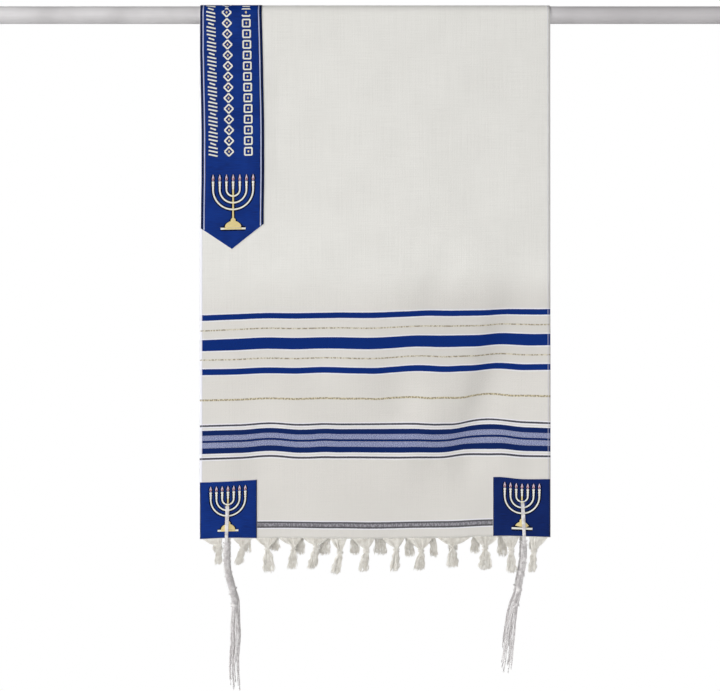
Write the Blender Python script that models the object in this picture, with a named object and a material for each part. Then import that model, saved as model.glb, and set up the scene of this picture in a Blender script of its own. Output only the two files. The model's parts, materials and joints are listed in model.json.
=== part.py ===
"""A fringed prayer shawl (tallit) hung over a plain garment rod.

Metres, +Z up. The rod's axis is the X axis, and the origin is on it at the middle of the cloth. The front
panel hangs at -Y and the back panel at +Y. Left and right are a viewer's who looks at the front along +Y.
"""

import math
from typing import NamedTuple

import bmesh
import bpy
from mathutils import Vector

MM = 0.001

# The rod
ROD_RADIUS = 14 * MM
ROD_LENGTH = 1240 * MM
ROD_SIDES = 24
ROD_EDGE = 1 * MM

# The cloth, a wall that runs from the hem behind, over the rod, to the hem in front
CLOTH_WIDTH = 561 * MM
CLOTH_THICKNESS = 1.5 * MM
SEAM_GAP = 0.3 * MM
WRAP_RADIUS = ROD_RADIUS + SEAM_GAP + CLOTH_THICKNESS / 2
WRAP_LENGTH = WRAP_RADIUS * math.pi / 2
WRAP_ROWS = ROD_SIDES // 4
HANG_ROWS = 18

# The corner patches
PATCH_SIDE = 92 * MM
PATCH_THICKNESS = 1 * MM
PATCH_ROWS = 2
PATCH_COLUMNS = 5
MIDDLE_COLUMNS = 22

# The eyelets
EYELET_RADIUS = 4.6 * MM
EYELET_SIDES = 12
EYELET_ABOVE_HEM = 52 * MM
EYELET_FROM_CENTRE = 236 * MM

# The neckband
BAND_THICKNESS = 1 * MM
BAND_LEFT_AT_ROD = -280.3 * MM
BAND_LEFT_AT_SHOULDER = -278.6 * MM
BAND_EDGE_AT_ROD = -180.6 * MM
BAND_EDGE_AT_SHOULDER = -177.2 * MM
BAND_SHOULDER_DROP = 341 * MM
BAND_POINT_ACROSS = -229 * MM
BAND_POINT_DEPTH = 37 * MM
BAND_SLANT = 6 * MM
BAND_SHORTER_BEHIND = 26 * MM

# The fringe tassels
TASSEL_COLUMNS = 3
TASSEL_LAYERS = 2
FAN_HALF_DEPTH = 1 * MM
FAN_WAIST = 0.6
KNOT_HALF_WIDTH = 5.2 * MM
KNOT_HALF_DEPTH = 4.2 * MM
KNOT_HEIGHT = 8 * MM
TAIL_BEND = 0.45
TAIL_DEEPENS = 1.35
TASSEL_STRAND_THICKNESS = 0.9
TASSEL_UNEVEN = 0.6 * MM

# The tzitzit strings
LEG_HALF_WIDTH = 3 * MM
LEG_HALF_DEPTH = 2 * MM
LEG_GAP = 1.6 * MM
LEG_SIDES = 8
LEG_END_SPREAD = 2.4 * MM
BIGHT_STEPS = 6
BIGHT_CLEARANCE = 1.3 * MM
STEM_HALF_WIDTH = 4.4 * MM
STEM_HALF_DEPTH = 4.2 * MM
STEM_KNOT_SWELL = 1.36
STEM_KNOT_HALF_HEIGHT = 4.5 * MM
STEM_KNOT_DROPS = (12 * MM, 36 * MM, 60 * MM, 84 * MM, 108 * MM)
STRING_COLUMNS = 3
STRING_STEPS = 4
STRING_THICKNESS = 0.72
STRING_SPREAD = 1.25
STRING_FLARE = 0.35
STRING_UNEVEN = 2.5 * MM


class Fold(NamedTuple):
    """A soft ridge that stands out from a panel and grows towards its hem, in millimetres."""

    centre: float  # across, at the hem
    drift: float  # how far it leans sideways from the hem up to its start
    half_width: float
    depth: float
    start: float  # below the rod's axis
    lift: float  # how far the cloth is drawn up along it


class Crease(NamedTuple):
    """A soft ridge that fades out above and below its middle, in millimetres. A trough's depth is below 0."""

    across: float
    hang: float  # its middle, below the rod's axis
    lean: float  # how far its lower end lies to the right of its middle
    half_width: float
    half_length: float
    depth: float
    lift: float


class Panel(NamedTuple):
    """One hanging side of the cloth, in millimetres."""

    name: str
    outward: int  # the sign of Y
    drop: float  # from the rod's axis down to the hem's left corner
    right_lift: float  # how much higher the hem's right corner hangs
    bow: float  # how much more the right side is drawn up half way down
    drift: float  # sideways, at the hem
    stand_out: float  # how far it hangs out from the rod's side, at the hem
    folds: tuple
    creases: tuple


class Tassel(NamedTuple):
    """A fringe tassel, in millimetres across from the centre and down from the hem."""

    left: float
    right: float
    knot: float
    knot_drop: float
    tip: float
    tip_drop: float
    tail_half_width: float


class KnotSection(NamedTuple):
    """A section of a tassel's knot, as shares of the knot's height and of its width and depth."""

    below_middle: float
    size: float


class Way(NamedTuple):
    """A place that a tzitzit hangs through, in millimetres across and below the rod's axis."""

    drop: float
    across: float


FRONT_FOLDS = (
    Fold(centre=-222, drift=-10, half_width=46, depth=1.5, start=500, lift=0),
    Fold(centre=-60, drift=0, half_width=110, depth=3, start=600, lift=0.5),
    Fold(centre=138, drift=-10, half_width=56, depth=1.5, start=660, lift=0),
    Fold(centre=285, drift=0, half_width=70, depth=4.5, start=420, lift=0),
)
FRONT_CREASES = (
    Crease(-30, 585, lean=0, half_width=78, half_length=100, depth=4, lift=-0.5),
    Crease(-125, 640, lean=0, half_width=100, half_length=75, depth=4, lift=0),
    Crease(62, 620, lean=0, half_width=70, half_length=130, depth=2, lift=0),
    Crease(92, 655, lean=-85, half_width=62, half_length=180, depth=4, lift=-0.5),
    Crease(176, 634, lean=-72, half_width=46, half_length=215, depth=-3.6, lift=3.6),
    Crease(204, 600, lean=-50, half_width=82, half_length=160, depth=-3.4, lift=0),
    Crease(226, 455, lean=-14, half_width=52, half_length=90, depth=-2.5, lift=0),
    Crease(18, 728, lean=0, half_width=80, half_length=50, depth=3, lift=0),
)
BACK_FOLDS = (
    Fold(centre=-205, drift=20, half_width=62, depth=8, start=300, lift=2),
    Fold(centre=-92, drift=-14, half_width=46, depth=5, start=380, lift=0),
    Fold(centre=8, drift=18, half_width=54, depth=7, start=340, lift=0.5),
    Fold(centre=112, drift=-22, half_width=48, depth=5, start=420, lift=0),
    Fold(centre=214, drift=-8, half_width=52, depth=6, start=360, lift=1),
)
BACK_CREASES = (
    Crease(-150, 600, lean=45, half_width=56, half_length=200, depth=-4, lift=-1),
    Crease(70, 650, lean=-30, half_width=58, half_length=150, depth=-3, lift=-1),
    Crease(165, 560, lean=-35, half_width=50, half_length=170, depth=4, lift=1),
)
FRONT = Panel(
    name="front",
    outward=-1,
    drop=841.5,
    right_lift=4,
    bow=7,
    drift=0,
    stand_out=3,
    folds=FRONT_FOLDS,
    creases=FRONT_CREASES,
)
BACK = Panel(
    name="back",
    outward=1,
    drop=815.5,
    right_lift=3,
    bow=5,
    drift=-0.5,
    stand_out=0,
    folds=BACK_FOLDS,
    creases=BACK_CREASES,
)

KNOT_SECTIONS = (
    KnotSection(below_middle=-0.3, size=0.8),
    KnotSection(below_middle=0.2, size=1),
    KnotSection(below_middle=0.7, size=0.7),
)
FRONT_TASSELS = (
    Tassel(-277, -244, knot=-250, knot_drop=15, tip=-251, tip_drop=42, tail_half_width=5),
    Tassel(-228, -195, knot=-212, knot_drop=14, tip=-219, tip_drop=44, tail_half_width=5),
    Tassel(-192, -156, knot=-172, knot_drop=16, tip=-170, tip_drop=56, tail_half_width=8),
    Tassel(-155, -117, knot=-130, knot_drop=15, tip=-133, tip_drop=51, tail_half_width=6),
    Tassel(-116, -75, knot=-94, knot_drop=14, tip=-102, tip_drop=50, tail_half_width=6),
    Tassel(-72, -45, knot=-56, knot_drop=22, tip=-64, tip_drop=58, tail_half_width=6),
    Tassel(-37, 0, knot=-14, knot_drop=19, tip=-20, tip_drop=54, tail_half_width=7),
    Tassel(11, 48, knot=34, knot_drop=18, tip=30, tip_drop=54, tail_half_width=6),
    Tassel(50, 93, knot=74, knot_drop=21, tip=70, tip_drop=53, tail_half_width=7),
    Tassel(99, 155, knot=124, knot_drop=16, tip=123, tip_drop=49, tail_half_width=8),
    Tassel(157, 200, knot=176, knot_drop=19, tip=176, tip_drop=55, tail_half_width=8),
    Tassel(202, 231, knot=218, knot_drop=24, tip=219, tip_drop=60, tail_half_width=6),
    Tassel(246, 277, knot=254, knot_drop=22, tip=251, tip_drop=58, tail_half_width=5),
)
BACK_TASSELS = (
    Tassel(-277, -244, knot=-256, knot_drop=16, tip=-254, tip_drop=52, tail_half_width=6),
    Tassel(-228, -191, knot=-208, knot_drop=18, tip=-206, tip_drop=54, tail_half_width=6),
    Tassel(-190, -146, knot=-165, knot_drop=15, tip=-161, tip_drop=50, tail_half_width=7),
    Tassel(-143, -102, knot=-121, knot_drop=17, tip=-121, tip_drop=55, tail_half_width=6),
    Tassel(-99, -55, knot=-78, knot_drop=20, tip=-83, tip_drop=57, tail_half_width=7),
    Tassel(-53, -14, knot=-33, knot_drop=18, tip=-32, tip_drop=56, tail_half_width=6),
    Tassel(-12, 30, knot=9, knot_drop=17, tip=9, tip_drop=58, tail_half_width=8),
    Tassel(32, 72, knot=54, knot_drop=19, tip=56, tip_drop=60, tail_half_width=6),
    Tassel(74, 110, knot=93, knot_drop=16, tip=96, tip_drop=61, tail_half_width=5),
    Tassel(112, 141, knot=127, knot_drop=18, tip=125, tip_drop=52, tail_half_width=6),
    Tassel(144, 184, knot=163, knot_drop=20, tip=162, tip_drop=55, tail_half_width=6),
    Tassel(187, 229, knot=206, knot_drop=17, tip=206, tip_drop=62, tail_half_width=7),
    Tassel(246, 277, knot=258, knot_drop=15, tip=256, tip_drop=50, tail_half_width=6),
)
LEFT_WAYS = (
    Way(790, -236),
    Way(868, -237.5),
    Way(893, -236.5),
    Way(920, -229.5),
    Way(935, -225.5),
    Way(970, -225),
    Way(1005, -224),
    Way(1047, -226),
    Way(1082, -223),
)
RIGHT_WAYS = (
    Way(787, 236),
    Way(850, 238.4),
    Way(880, 237),
    Way(906, 232),
    Way(932, 228),
    Way(957, 221.5),
    Way(983, 217),
    Way(1034, 211.5),
    Way(1055, 207.5),
)


def clear_scene():
    for old in list(bpy.data.objects):
        bpy.data.objects.remove(old)


def make_material(name, colour, roughness, metallic=0.0):
    material = bpy.data.materials.new(name)
    material.use_nodes = True
    shader = material.node_tree.nodes["Principled BSDF"]
    shader.inputs["Base Color"].default_value = (*colour, 1)
    shader.inputs["Roughness"].default_value = roughness
    shader.inputs["Metallic"].default_value = metallic
    return material


def add_object(name, bm, material, parent, origin=(0, 0, 0), smooth=False):
    """Ends a mesh and places it as an object whose own origin is at the point given."""
    bmesh.ops.recalc_face_normals(bm, faces=bm.faces[:])
    bmesh.ops.translate(bm, verts=bm.verts[:], vec=-Vector(origin))
    mesh = bpy.data.meshes.new(name)
    bm.to_mesh(mesh)
    bm.free()
    mesh.materials.append(material)
    if smooth:
        mesh.shade_smooth()
        mesh.set_sharp_from_angle(angle=math.radians(50))
    obj = bpy.data.objects.new(name, mesh)
    obj.location = origin
    obj.parent = parent
    bpy.context.scene.collection.objects.link(obj)
    return obj


def hide_helper(obj):
    obj.hide_render = True
    obj.display_type = "WIRE"


def add_wall(obj, thickness):
    wall = obj.modifiers.new("Wall", "SOLIDIFY")
    wall.thickness = thickness
    wall.offset = 0
    wall.use_even_offset = True


def add_boolean(obj, other, operation):
    boolean = obj.modifiers.new(other.name, "BOOLEAN")
    boolean.operation = operation
    boolean.solver = "EXACT"
    boolean.object = other


# The cloth's form


def fold_share(fold, across, hang, drop):
    """How much of a fold stands at a place, from 0 at its edges and start to 1 on its ridge at the hem."""
    grown = (hang - fold.start * MM) / (drop - fold.start * MM)
    if grown <= 0:
        return 0.0
    middle = (fold.centre + fold.drift * (1 - grown)) * MM
    reach = abs(across - middle) / (fold.half_width * MM)
    if reach >= 1:
        return 0.0
    return math.cos(reach * math.pi / 2) ** 2 * math.sin(min(grown, 1) * math.pi / 2)


def crease_share(crease, across, hang):
    below = (hang - crease.hang * MM) / (crease.half_length * MM)
    middle = (crease.across + crease.lean * below) * MM
    reach = abs(across - middle) / (crease.half_width * MM)
    if reach >= 1 or abs(below) >= 1:
        return 0.0
    return (math.cos(reach * math.pi / 2) * math.cos(below * math.pi / 2)) ** 2


def hang_length(panel):
    return panel.drop * MM


def cloth_point(across, along):
    """The middle of the wall, for a place on the flat cloth: across from its centre line, and along from
    the rod's top, where the front is positive."""
    panel = FRONT if along >= 0 else BACK
    hang = abs(along) - WRAP_LENGTH
    if hang <= 0:
        turn = along / WRAP_RADIUS
        return Vector((across, -WRAP_RADIUS * math.sin(turn), WRAP_RADIUS * math.cos(turn)))
    drop = hang_length(panel)
    down = hang / drop
    to_right = across / CLOTH_WIDTH + 0.5
    lift = to_right * (panel.right_lift * down + 4 * panel.bow * down * (1 - down))
    depth = panel.stand_out * math.sin(down * math.pi / 2)
    for fold in panel.folds:
        share = fold_share(fold, across, hang, drop)
        depth += fold.depth * share
        lift += fold.lift * share
    for crease in panel.creases:
        share = crease_share(crease, across, hang)
        depth += crease.depth * share
        lift += crease.lift * share
    x = across + panel.drift * down * MM
    return Vector((x, panel.outward * (WRAP_RADIUS + depth * MM), lift * MM - hang))


def across_lines():
    """The columns of the cloth's grid, from left to right, with one along each patch's inner edge."""
    edge = CLOTH_WIDTH / 2
    inner = edge - PATCH_SIDE
    left = [-edge + PATCH_SIDE * i / PATCH_COLUMNS for i in range(PATCH_COLUMNS)]
    middle = [-inner + 2 * inner * i / MIDDLE_COLUMNS for i in range(MIDDLE_COLUMNS)]
    right = [inner + PATCH_SIDE * i / PATCH_COLUMNS for i in range(PATCH_COLUMNS + 1)]
    return left + middle + right


def along_lines(panel):
    """The rows of the cloth's grid on one side, from the rod's top to the hem."""
    body = hang_length(panel) - PATCH_SIDE
    wrap = [WRAP_LENGTH * i / WRAP_ROWS for i in range(WRAP_ROWS)]
    hang = [WRAP_LENGTH + body * i / HANG_ROWS for i in range(HANG_ROWS)]
    patch = [WRAP_LENGTH + body + PATCH_SIDE * i / PATCH_ROWS for i in range(PATCH_ROWS + 1)]
    return wrap + hang + patch


def all_along_lines():
    behind = [-along for along in reversed(along_lines(BACK)[1:])]
    return behind + along_lines(FRONT)


def moved_out(across, along, distance):
    """A point of the cloth moved out from the rod's side along the cloth's own direction there."""
    step = 1 * MM
    sideways = cloth_point(across + step, along) - cloth_point(across - step, along)
    forward = cloth_point(across, along + step) - cloth_point(across, along - step)
    return cloth_point(across, along) + forward.cross(sideways).normalized() * distance


def cloth_sheet(columns, rows, distance):
    """A sheet of the cloth's own points, moved out by a distance."""
    bm = bmesh.new()
    lines = [[bm.verts.new(moved_out(across, along, distance)) for across in columns] for along in rows]
    for line, next_line in zip(lines, lines[1:]):
        for i in range(len(line) - 1):
            bm.faces.new((line[i], line[i + 1], next_line[i + 1], next_line[i]))
    return bm


def hem_point(across, panel):
    """A point on the hem, which is straight between the grid's columns."""
    columns = across_lines()
    along = -panel.outward * (WRAP_LENGTH + hang_length(panel))
    after = next(i for i in range(1, len(columns)) if columns[i] >= across or i == len(columns) - 1)
    before = after - 1
    share = (across - columns[before]) / (columns[after] - columns[before])
    return cloth_point(columns[before], along).lerp(cloth_point(columns[after], along), share)


# The sewn pieces


def make_shawl(material, parent, eyelets):
    bm = cloth_sheet(across_lines(), all_along_lines(), 0)
    shawl = add_object("shawl", bm, material, parent, smooth=True)
    add_wall(shawl, CLOTH_THICKNESS)
    for eyelet in eyelets.values():
        add_boolean(shawl, eyelet, "DIFFERENCE")


def trim(bm, point, outward):
    """Cuts off what lies outside a plane."""
    everything = bm.verts[:] + bm.edges[:] + bm.faces[:]
    bmesh.ops.bisect_plane(bm, geom=everything, plane_co=point, plane_no=outward, clear_outer=True)


def trim_point(bm, panel, shorter):
    """Cuts a pointed end into the neckband, where it hangs on one panel."""
    shoulder = BAND_SHOULDER_DROP - shorter
    tip = Vector((BAND_POINT_ACROSS, 0, -shoulder - BAND_POINT_DEPTH))
    left = Vector((BAND_LEFT_AT_SHOULDER, 0, -shoulder - BAND_SLANT / 2))
    right = Vector((BAND_EDGE_AT_SHOULDER, 0, -shoulder + BAND_SLANT / 2))
    sides = ((left, tip), (tip, right))
    for start, end in sides:
        run = end - start
        on_panel = [face for face in bm.faces if face.calc_center_median().y * panel.outward > 0]
        edges = {edge for face in on_panel for edge in face.edges}
        verts = {vert for face in on_panel for vert in face.verts}
        geometry = [*verts, *edges, *on_panel]
        outward = Vector((run.z, 0, -run.x))
        bmesh.ops.bisect_plane(bm, geom=geometry, plane_co=start, plane_no=outward, clear_outer=True)


def make_neckband(material, parent):
    columns = [across for across in across_lines() if across < BAND_EDGE_AT_SHOULDER + 20 * MM]
    longest = WRAP_LENGTH + BAND_SHOULDER_DROP + BAND_POINT_DEPTH + 70 * MM
    rows = [along for along in all_along_lines() if abs(along) < longest]
    bm = cloth_sheet(columns, rows, CLOTH_THICKNESS / 2 + SEAM_GAP + BAND_THICKNESS / 2)
    left_run = Vector((BAND_LEFT_AT_SHOULDER - BAND_LEFT_AT_ROD, 0, -BAND_SHOULDER_DROP))
    trim(bm, (BAND_LEFT_AT_ROD, 0, 0), (left_run.z, 0, -left_run.x))
    right_run = Vector((BAND_EDGE_AT_SHOULDER - BAND_EDGE_AT_ROD, 0, -BAND_SHOULDER_DROP))
    trim(bm, (BAND_EDGE_AT_ROD, 0, 0), (-right_run.z, 0, right_run.x))
    trim_point(bm, FRONT, 0)
    trim_point(bm, BACK, BAND_SHORTER_BEHIND)
    band = add_object("neckband", bm, material, parent, smooth=True)
    add_wall(band, BAND_THICKNESS)


def make_patch(panel, side_name, side, material, parent, eyelet):
    edge = CLOTH_WIDTH / 2 - PATCH_SIDE
    columns = [across for across in across_lines() if across * side > edge - 1 * MM]
    hem = WRAP_LENGTH + hang_length(panel)
    rows = [-panel.outward * along for along in along_lines(panel) if along > hem - PATCH_SIDE - 1 * MM]
    bm = cloth_sheet(columns, rows, CLOTH_THICKNESS / 2 + SEAM_GAP + PATCH_THICKNESS / 2)
    if panel is BACK:
        bmesh.ops.reverse_faces(bm, faces=bm.faces[:])
    patch = add_object(f"corner_patch_{panel.name}_{side_name}", bm, material, parent, smooth=True)
    add_wall(patch, PATCH_THICKNESS)
    add_boolean(patch, eyelet, "DIFFERENCE")


def eyelet_place(panel, side):
    along = -panel.outward * (WRAP_LENGTH + hang_length(panel) - EYELET_ABOVE_HEM)
    return cloth_point(side * EYELET_FROM_CENTRE, along)


def make_eyelet(panel, side_name, side, material, parent):
    """The round cutter of an eyelet, long enough for the cloth and its patch."""
    bm = bmesh.new()
    bmesh.ops.create_cone(
        bm,
        cap_ends=True,
        segments=EYELET_SIDES,
        radius1=EYELET_RADIUS,
        radius2=EYELET_RADIUS,
        depth=12 * MM,
    )
    cutter = add_object(f"eyelet_{panel.name}_{side_name}", bm, material, parent)
    cutter.location = eyelet_place(panel, side)
    cutter.rotation_euler.x = math.pi / 2
    hide_helper(cutter)
    return cutter


# Strands and what they hang from


def start_block(columns, layers, place):
    """Starts a block of strands as a flat grid. Each point keeps its place in the grid, from -1 to 1 both
    ways, in two layers, and place gives where it lies."""
    bm = bmesh.new()
    wide = bm.verts.layers.float.new("wide")
    deep = bm.verts.layers.float.new("deep")
    bmesh.ops.create_grid(bm, x_segments=columns, y_segments=layers, size=1)
    for vert in bm.verts:
        vert[wide] = vert.co.x
        vert[deep] = vert.co.y
        vert.co = place(vert[wide], vert[deep])
    return bm, bm.faces[:]


def extrude_block(bm, faces, place):
    wide = bm.verts.layers.float["wide"]
    deep = bm.verts.layers.float["deep"]
    edges = {edge for face in faces for edge in face.edges}
    grown = bmesh.ops.extrude_face_region(bm, geom=[*faces, *edges])["geom"]
    for item in grown:
        if isinstance(item, bmesh.types.BMVert):
            item.co = place(item[wide], item[deep])
    return [item for item in grown if isinstance(item, bmesh.types.BMFace)]


def oval(centre, half_width, half_depth):
    """Places a grid's points inside an upright oval's outline."""

    def place(wide, deep):
        x = wide * math.sqrt(1 - deep * deep / 2) * half_width
        y = deep * math.sqrt(1 - wide * wide / 2) * half_depth
        return centre + Vector((x, y, 0))

    return place


def extrude_strand(bm, face, centres, thickness):
    """Draws one face out into a strand through the centres. Its thickness is a share of the face's."""
    middle = face.calc_center_median()
    outline = [vert.co - middle for vert in face.verts]
    for centre in centres:
        face = bmesh.ops.extrude_discrete_faces(bm, faces=[face])["faces"][0]
        for vert, offset in zip(face.verts, outline):
            vert.co = centre + offset * thickness


def make_tassel(panel, number, tassel, material, parent):
    """A fan of warp ends from the hem, tied in a knot, with the loose ends below it."""
    left = tassel.left * MM
    right = tassel.right * MM
    hem = hem_point((left + right) / 2, panel)
    knot = Vector((tassel.knot * MM, hem.y, hem.z - tassel.knot_drop * MM))
    tip = Vector((tassel.tip * MM, hem.y, hem.z - tassel.tip_drop * MM))

    def at_hem(wide, deep):
        across = left + (right - left) * (wide + 1) / 2
        return hem_point(across, panel) + Vector((0, deep * FAN_HALF_DEPTH, -SEAM_GAP))

    bm, faces = start_block(TASSEL_COLUMNS, TASSEL_LAYERS, at_hem)
    waist = (right - left) / 2 * FAN_WAIST
    faces = extrude_block(bm, faces, oval(hem.lerp(knot, 0.5), waist, FAN_HALF_DEPTH * 2))
    for section in KNOT_SECTIONS:
        root = knot - Vector((0, 0, KNOT_HEIGHT * section.below_middle))
        place = oval(root, KNOT_HALF_WIDTH * section.size, KNOT_HALF_DEPTH * section.size)
        faces = extrude_block(bm, faces, place)
    flare = tassel.tail_half_width * MM / (KNOT_HALF_WIDTH * KNOT_SECTIONS[-1].size)
    thickness = TASSEL_STRAND_THICKNESS * math.sqrt(flare)
    for strand, face in enumerate(faces):
        offset = face.calc_center_median() - root
        shorter = TASSEL_UNEVEN * ((strand * 3 + number * 2) % 5)
        end = tip + Vector((offset.x * flare, offset.y * TAIL_DEEPENS, shorter))
        half_flared = Vector((offset.x * (flare + 1) / 2, offset.y * TAIL_DEEPENS, 0))
        extrude_strand(bm, face, (root.lerp(tip, TAIL_BEND) + half_flared, end), thickness)
    name = f"tassel_{panel.name}_{number:02d}"
    add_object(name, bm, material, parent, origin=hem)


def across_at(ways, drop):
    """How far across a tzitzit hangs at a drop, on a smooth curve through its places."""
    last = len(ways) - 2
    after = next((i for i in range(last) if ways[i + 1].drop * MM > drop), last)
    one, two = ways[after], ways[after + 1]
    before = ways[max(after - 1, 0)]
    beyond = ways[min(after + 2, last + 1)]
    share = (drop / MM - one.drop) / (two.drop - one.drop)
    slope_one = (two.across - before.across) / (two.drop - before.drop) * (two.drop - one.drop)
    slope_two = (beyond.across - one.across) / (beyond.drop - one.drop) * (two.drop - one.drop)
    square = share * share
    cube = square * share
    across = (
        (2 * cube - 3 * square + 1) * one.across
        + (cube - 2 * square + share) * slope_one
        + (3 * square - 2 * cube) * two.across
        + (cube - square) * slope_two
    )
    return across * MM


def loop_path(panel, side, ways, knot):
    """The middle of the strings' loop: up outside the patch, through the eyelet and down behind the cloth."""
    eyelet = eyelet_place(panel, side)
    outer = CLOTH_THICKNESS / 2 + SEAM_GAP + PATCH_THICKNESS + LEG_GAP + LEG_HALF_DEPTH
    inner = -CLOTH_THICKNESS / 2 - LEG_GAP - LEG_HALF_DEPTH
    middle = (outer + inner) / 2
    reach = (outer - inner) / 2
    hem = hem_point(side * EYELET_FROM_CENTRE, panel)
    bight = eyelet.z - EYELET_RADIUS + BIGHT_CLEARANCE + LEG_HALF_DEPTH - reach
    below = hem.z - 4 * MM

    def place(distance, z, spot):
        return Vector((across_at(ways, -z), spot.y + panel.outward * distance, z))

    path = [place(middle + LEG_END_SPREAD, knot.z, hem), place(outer, below, hem), place(outer, hem.z, hem)]
    for i in range(BIGHT_STEPS + 1):
        turn = math.pi * i / BIGHT_STEPS
        path.append(place(middle + reach * math.cos(turn), bight + reach * math.sin(turn), eyelet))
    path += [place(inner, hem.z, hem), place(inner, below, hem), place(middle - LEG_END_SPREAD, knot.z, hem)]
    return path


def make_loop(name, path, across, material, parent):
    """An oval tube along a path, wide in the direction given, which is the cloth's own across."""
    bm = bmesh.new()
    rings = []
    for i, centre in enumerate(path):
        run = path[min(i + 1, len(path) - 1)] - path[max(i - 1, 0)]
        out = run.cross(across).normalized()
        ring = []
        for k in range(LEG_SIDES):
            turn = 2 * math.pi * (k + 0.5) / LEG_SIDES
            offset = across * math.cos(turn) * LEG_HALF_WIDTH + out * math.sin(turn) * LEG_HALF_DEPTH
            ring.append(bm.verts.new(centre + offset))
        rings.append(ring)
    for ring, next_ring in zip(rings, rings[1:]):
        for k in range(LEG_SIDES):
            after = (k + 1) % LEG_SIDES
            bm.faces.new((ring[k], ring[after], next_ring[after], next_ring[k]))
    bm.faces.new(rings[0])
    bm.faces.new(rings[-1])
    loop = add_object(name, bm, material, parent, smooth=True)
    hide_helper(loop)
    return loop


def stem_sections(knots):
    """(drop below the hem, swell) of each section of a wound stem: narrow, wide and narrow at each knot."""
    sections = []
    for knot in knots:
        sections.append((knot - STEM_KNOT_HALF_HEIGHT, 1.0))
        sections.append((knot, STEM_KNOT_SWELL))
        sections.append((knot + STEM_KNOT_HALF_HEIGHT, 1.0))
    return sections


def make_tzitzit(panel, side_name, side, ways, material, parent):
    """A loop through the eyelet, a stem wound between five knots, and eight loose strings."""
    hem = hem_point(side * EYELET_FROM_CENTRE, panel)
    middle = (SEAM_GAP + PATCH_THICKNESS) / 2
    y = hem.y + panel.outward * middle

    def centre_at(z):
        return Vector((across_at(ways, -z), y, z))

    sections = [
        oval(centre_at(hem.z - drop), STEM_HALF_WIDTH * swell, STEM_HALF_DEPTH * swell)
        for drop, swell in stem_sections(STEM_KNOT_DROPS)
    ]
    bm, faces = start_block(STRING_COLUMNS, STRING_COLUMNS, sections[0])
    for section in sections[1:]:
        faces = extrude_block(bm, faces, section)
    root_z = hem.z - STEM_KNOT_DROPS[-1] - STEM_KNOT_HALF_HEIGHT
    shorter = (FRONT.drop - panel.drop) * MM
    end_z = shorter - ways[-1].drop * MM
    outer = [face for face in faces if (face.calc_center_median() - centre_at(root_z)).length > 1 * MM]
    for strand, face in enumerate(outer):
        offset = face.calc_center_median() - centre_at(root_z)
        length = root_z - end_z - STRING_UNEVEN * ((strand * 5) % 8)
        centres = []
        for i in range(1, STRING_STEPS + 1):
            share = i / STRING_STEPS
            spread = STRING_SPREAD + STRING_FLARE * share
            centres.append(centre_at(root_z - length * share) + Vector((offset.x, offset.y, 0)) * spread)
        extrude_strand(bm, face, centres, STRING_THICKNESS)
    name = f"tzitzit_{panel.name}_{side_name}"
    tzitzit = add_object(name, bm, material, parent, origin=hem)
    path = loop_path(panel, side, ways, centre_at(hem.z - STEM_KNOT_DROPS[0]))
    near = hem_point(side * EYELET_FROM_CENTRE + LEG_HALF_WIDTH, panel)
    across = Vector((near.x - hem.x, near.y - hem.y, 0)).normalized()
    loop = make_loop(f"loop_{panel.name}_{side_name}", path, across, material, parent)
    add_boolean(tzitzit, loop, "UNION")


def make_rod(material, parent):
    bm = bmesh.new()
    bmesh.ops.create_cone(
        bm,
        cap_ends=True,
        segments=ROD_SIDES,
        radius1=ROD_RADIUS,
        radius2=ROD_RADIUS,
        depth=ROD_LENGTH,
    )
    ends = {edge for face in bm.faces if len(face.edges) == ROD_SIDES for edge in face.edges}
    bmesh.ops.bevel(bm, geom=list(ends), offset=ROD_EDGE, segments=1, affect="EDGES")
    rod = add_object("rod", bm, material, parent, smooth=True)
    rod.rotation_euler.y = math.pi / 2


def main():
    clear_scene()
    ivory_weave = make_material("ivory_weave", (0.74, 0.73, 0.69), 0.85)
    blue_satin = make_material("blue_satin", (0.010, 0.035, 0.20), 0.45)
    fringe_yarn = make_material("fringe_yarn", (0.68, 0.66, 0.60), 0.9)
    white_string = make_material("white_string", (0.62, 0.60, 0.58), 0.8)
    rod_paint = make_material("rod_paint", (0.62, 0.61, 0.61), 0.35, 0.1)

    hanger = bpy.data.objects.new("hanging_point", None)
    bpy.context.scene.collection.objects.link(hanger)

    make_rod(rod_paint, hanger)
    sides = (("left", -1, LEFT_WAYS), ("right", 1, RIGHT_WAYS))
    eyelets = {}
    for panel in (FRONT, BACK):
        for side_name, side, _ in sides:
            key = (panel.name, side_name)
            eyelets[key] = make_eyelet(panel, side_name, side, ivory_weave, hanger)
    make_shawl(ivory_weave, hanger, eyelets)
    make_neckband(blue_satin, hanger)
    for panel, tassels in ((FRONT, FRONT_TASSELS), (BACK, BACK_TASSELS)):
        for side_name, side, ways in sides:
            eyelet = eyelets[(panel.name, side_name)]
            make_patch(panel, side_name, side, blue_satin, hanger, eyelet)
            make_tzitzit(panel, side_name, side, ways, white_string, hanger)
        for number, tassel in enumerate(tassels, 1):
            make_tassel(panel, number, tassel, fringe_yarn, hanger)


main()
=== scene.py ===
"""The looks of a fringed prayer shawl (tallit) that hangs over a plain garment rod.

Metres, +Z up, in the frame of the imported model. The rod's axis is the X axis, and the origin is on it at the
middle of the cloth. The front panel hangs at -Y. A place on the cloth is given flat, as it was cut: across
from its centre line, and along from the rod's top, where the front is positive.
"""

import json
import math
import random
from typing import NamedTuple

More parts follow.
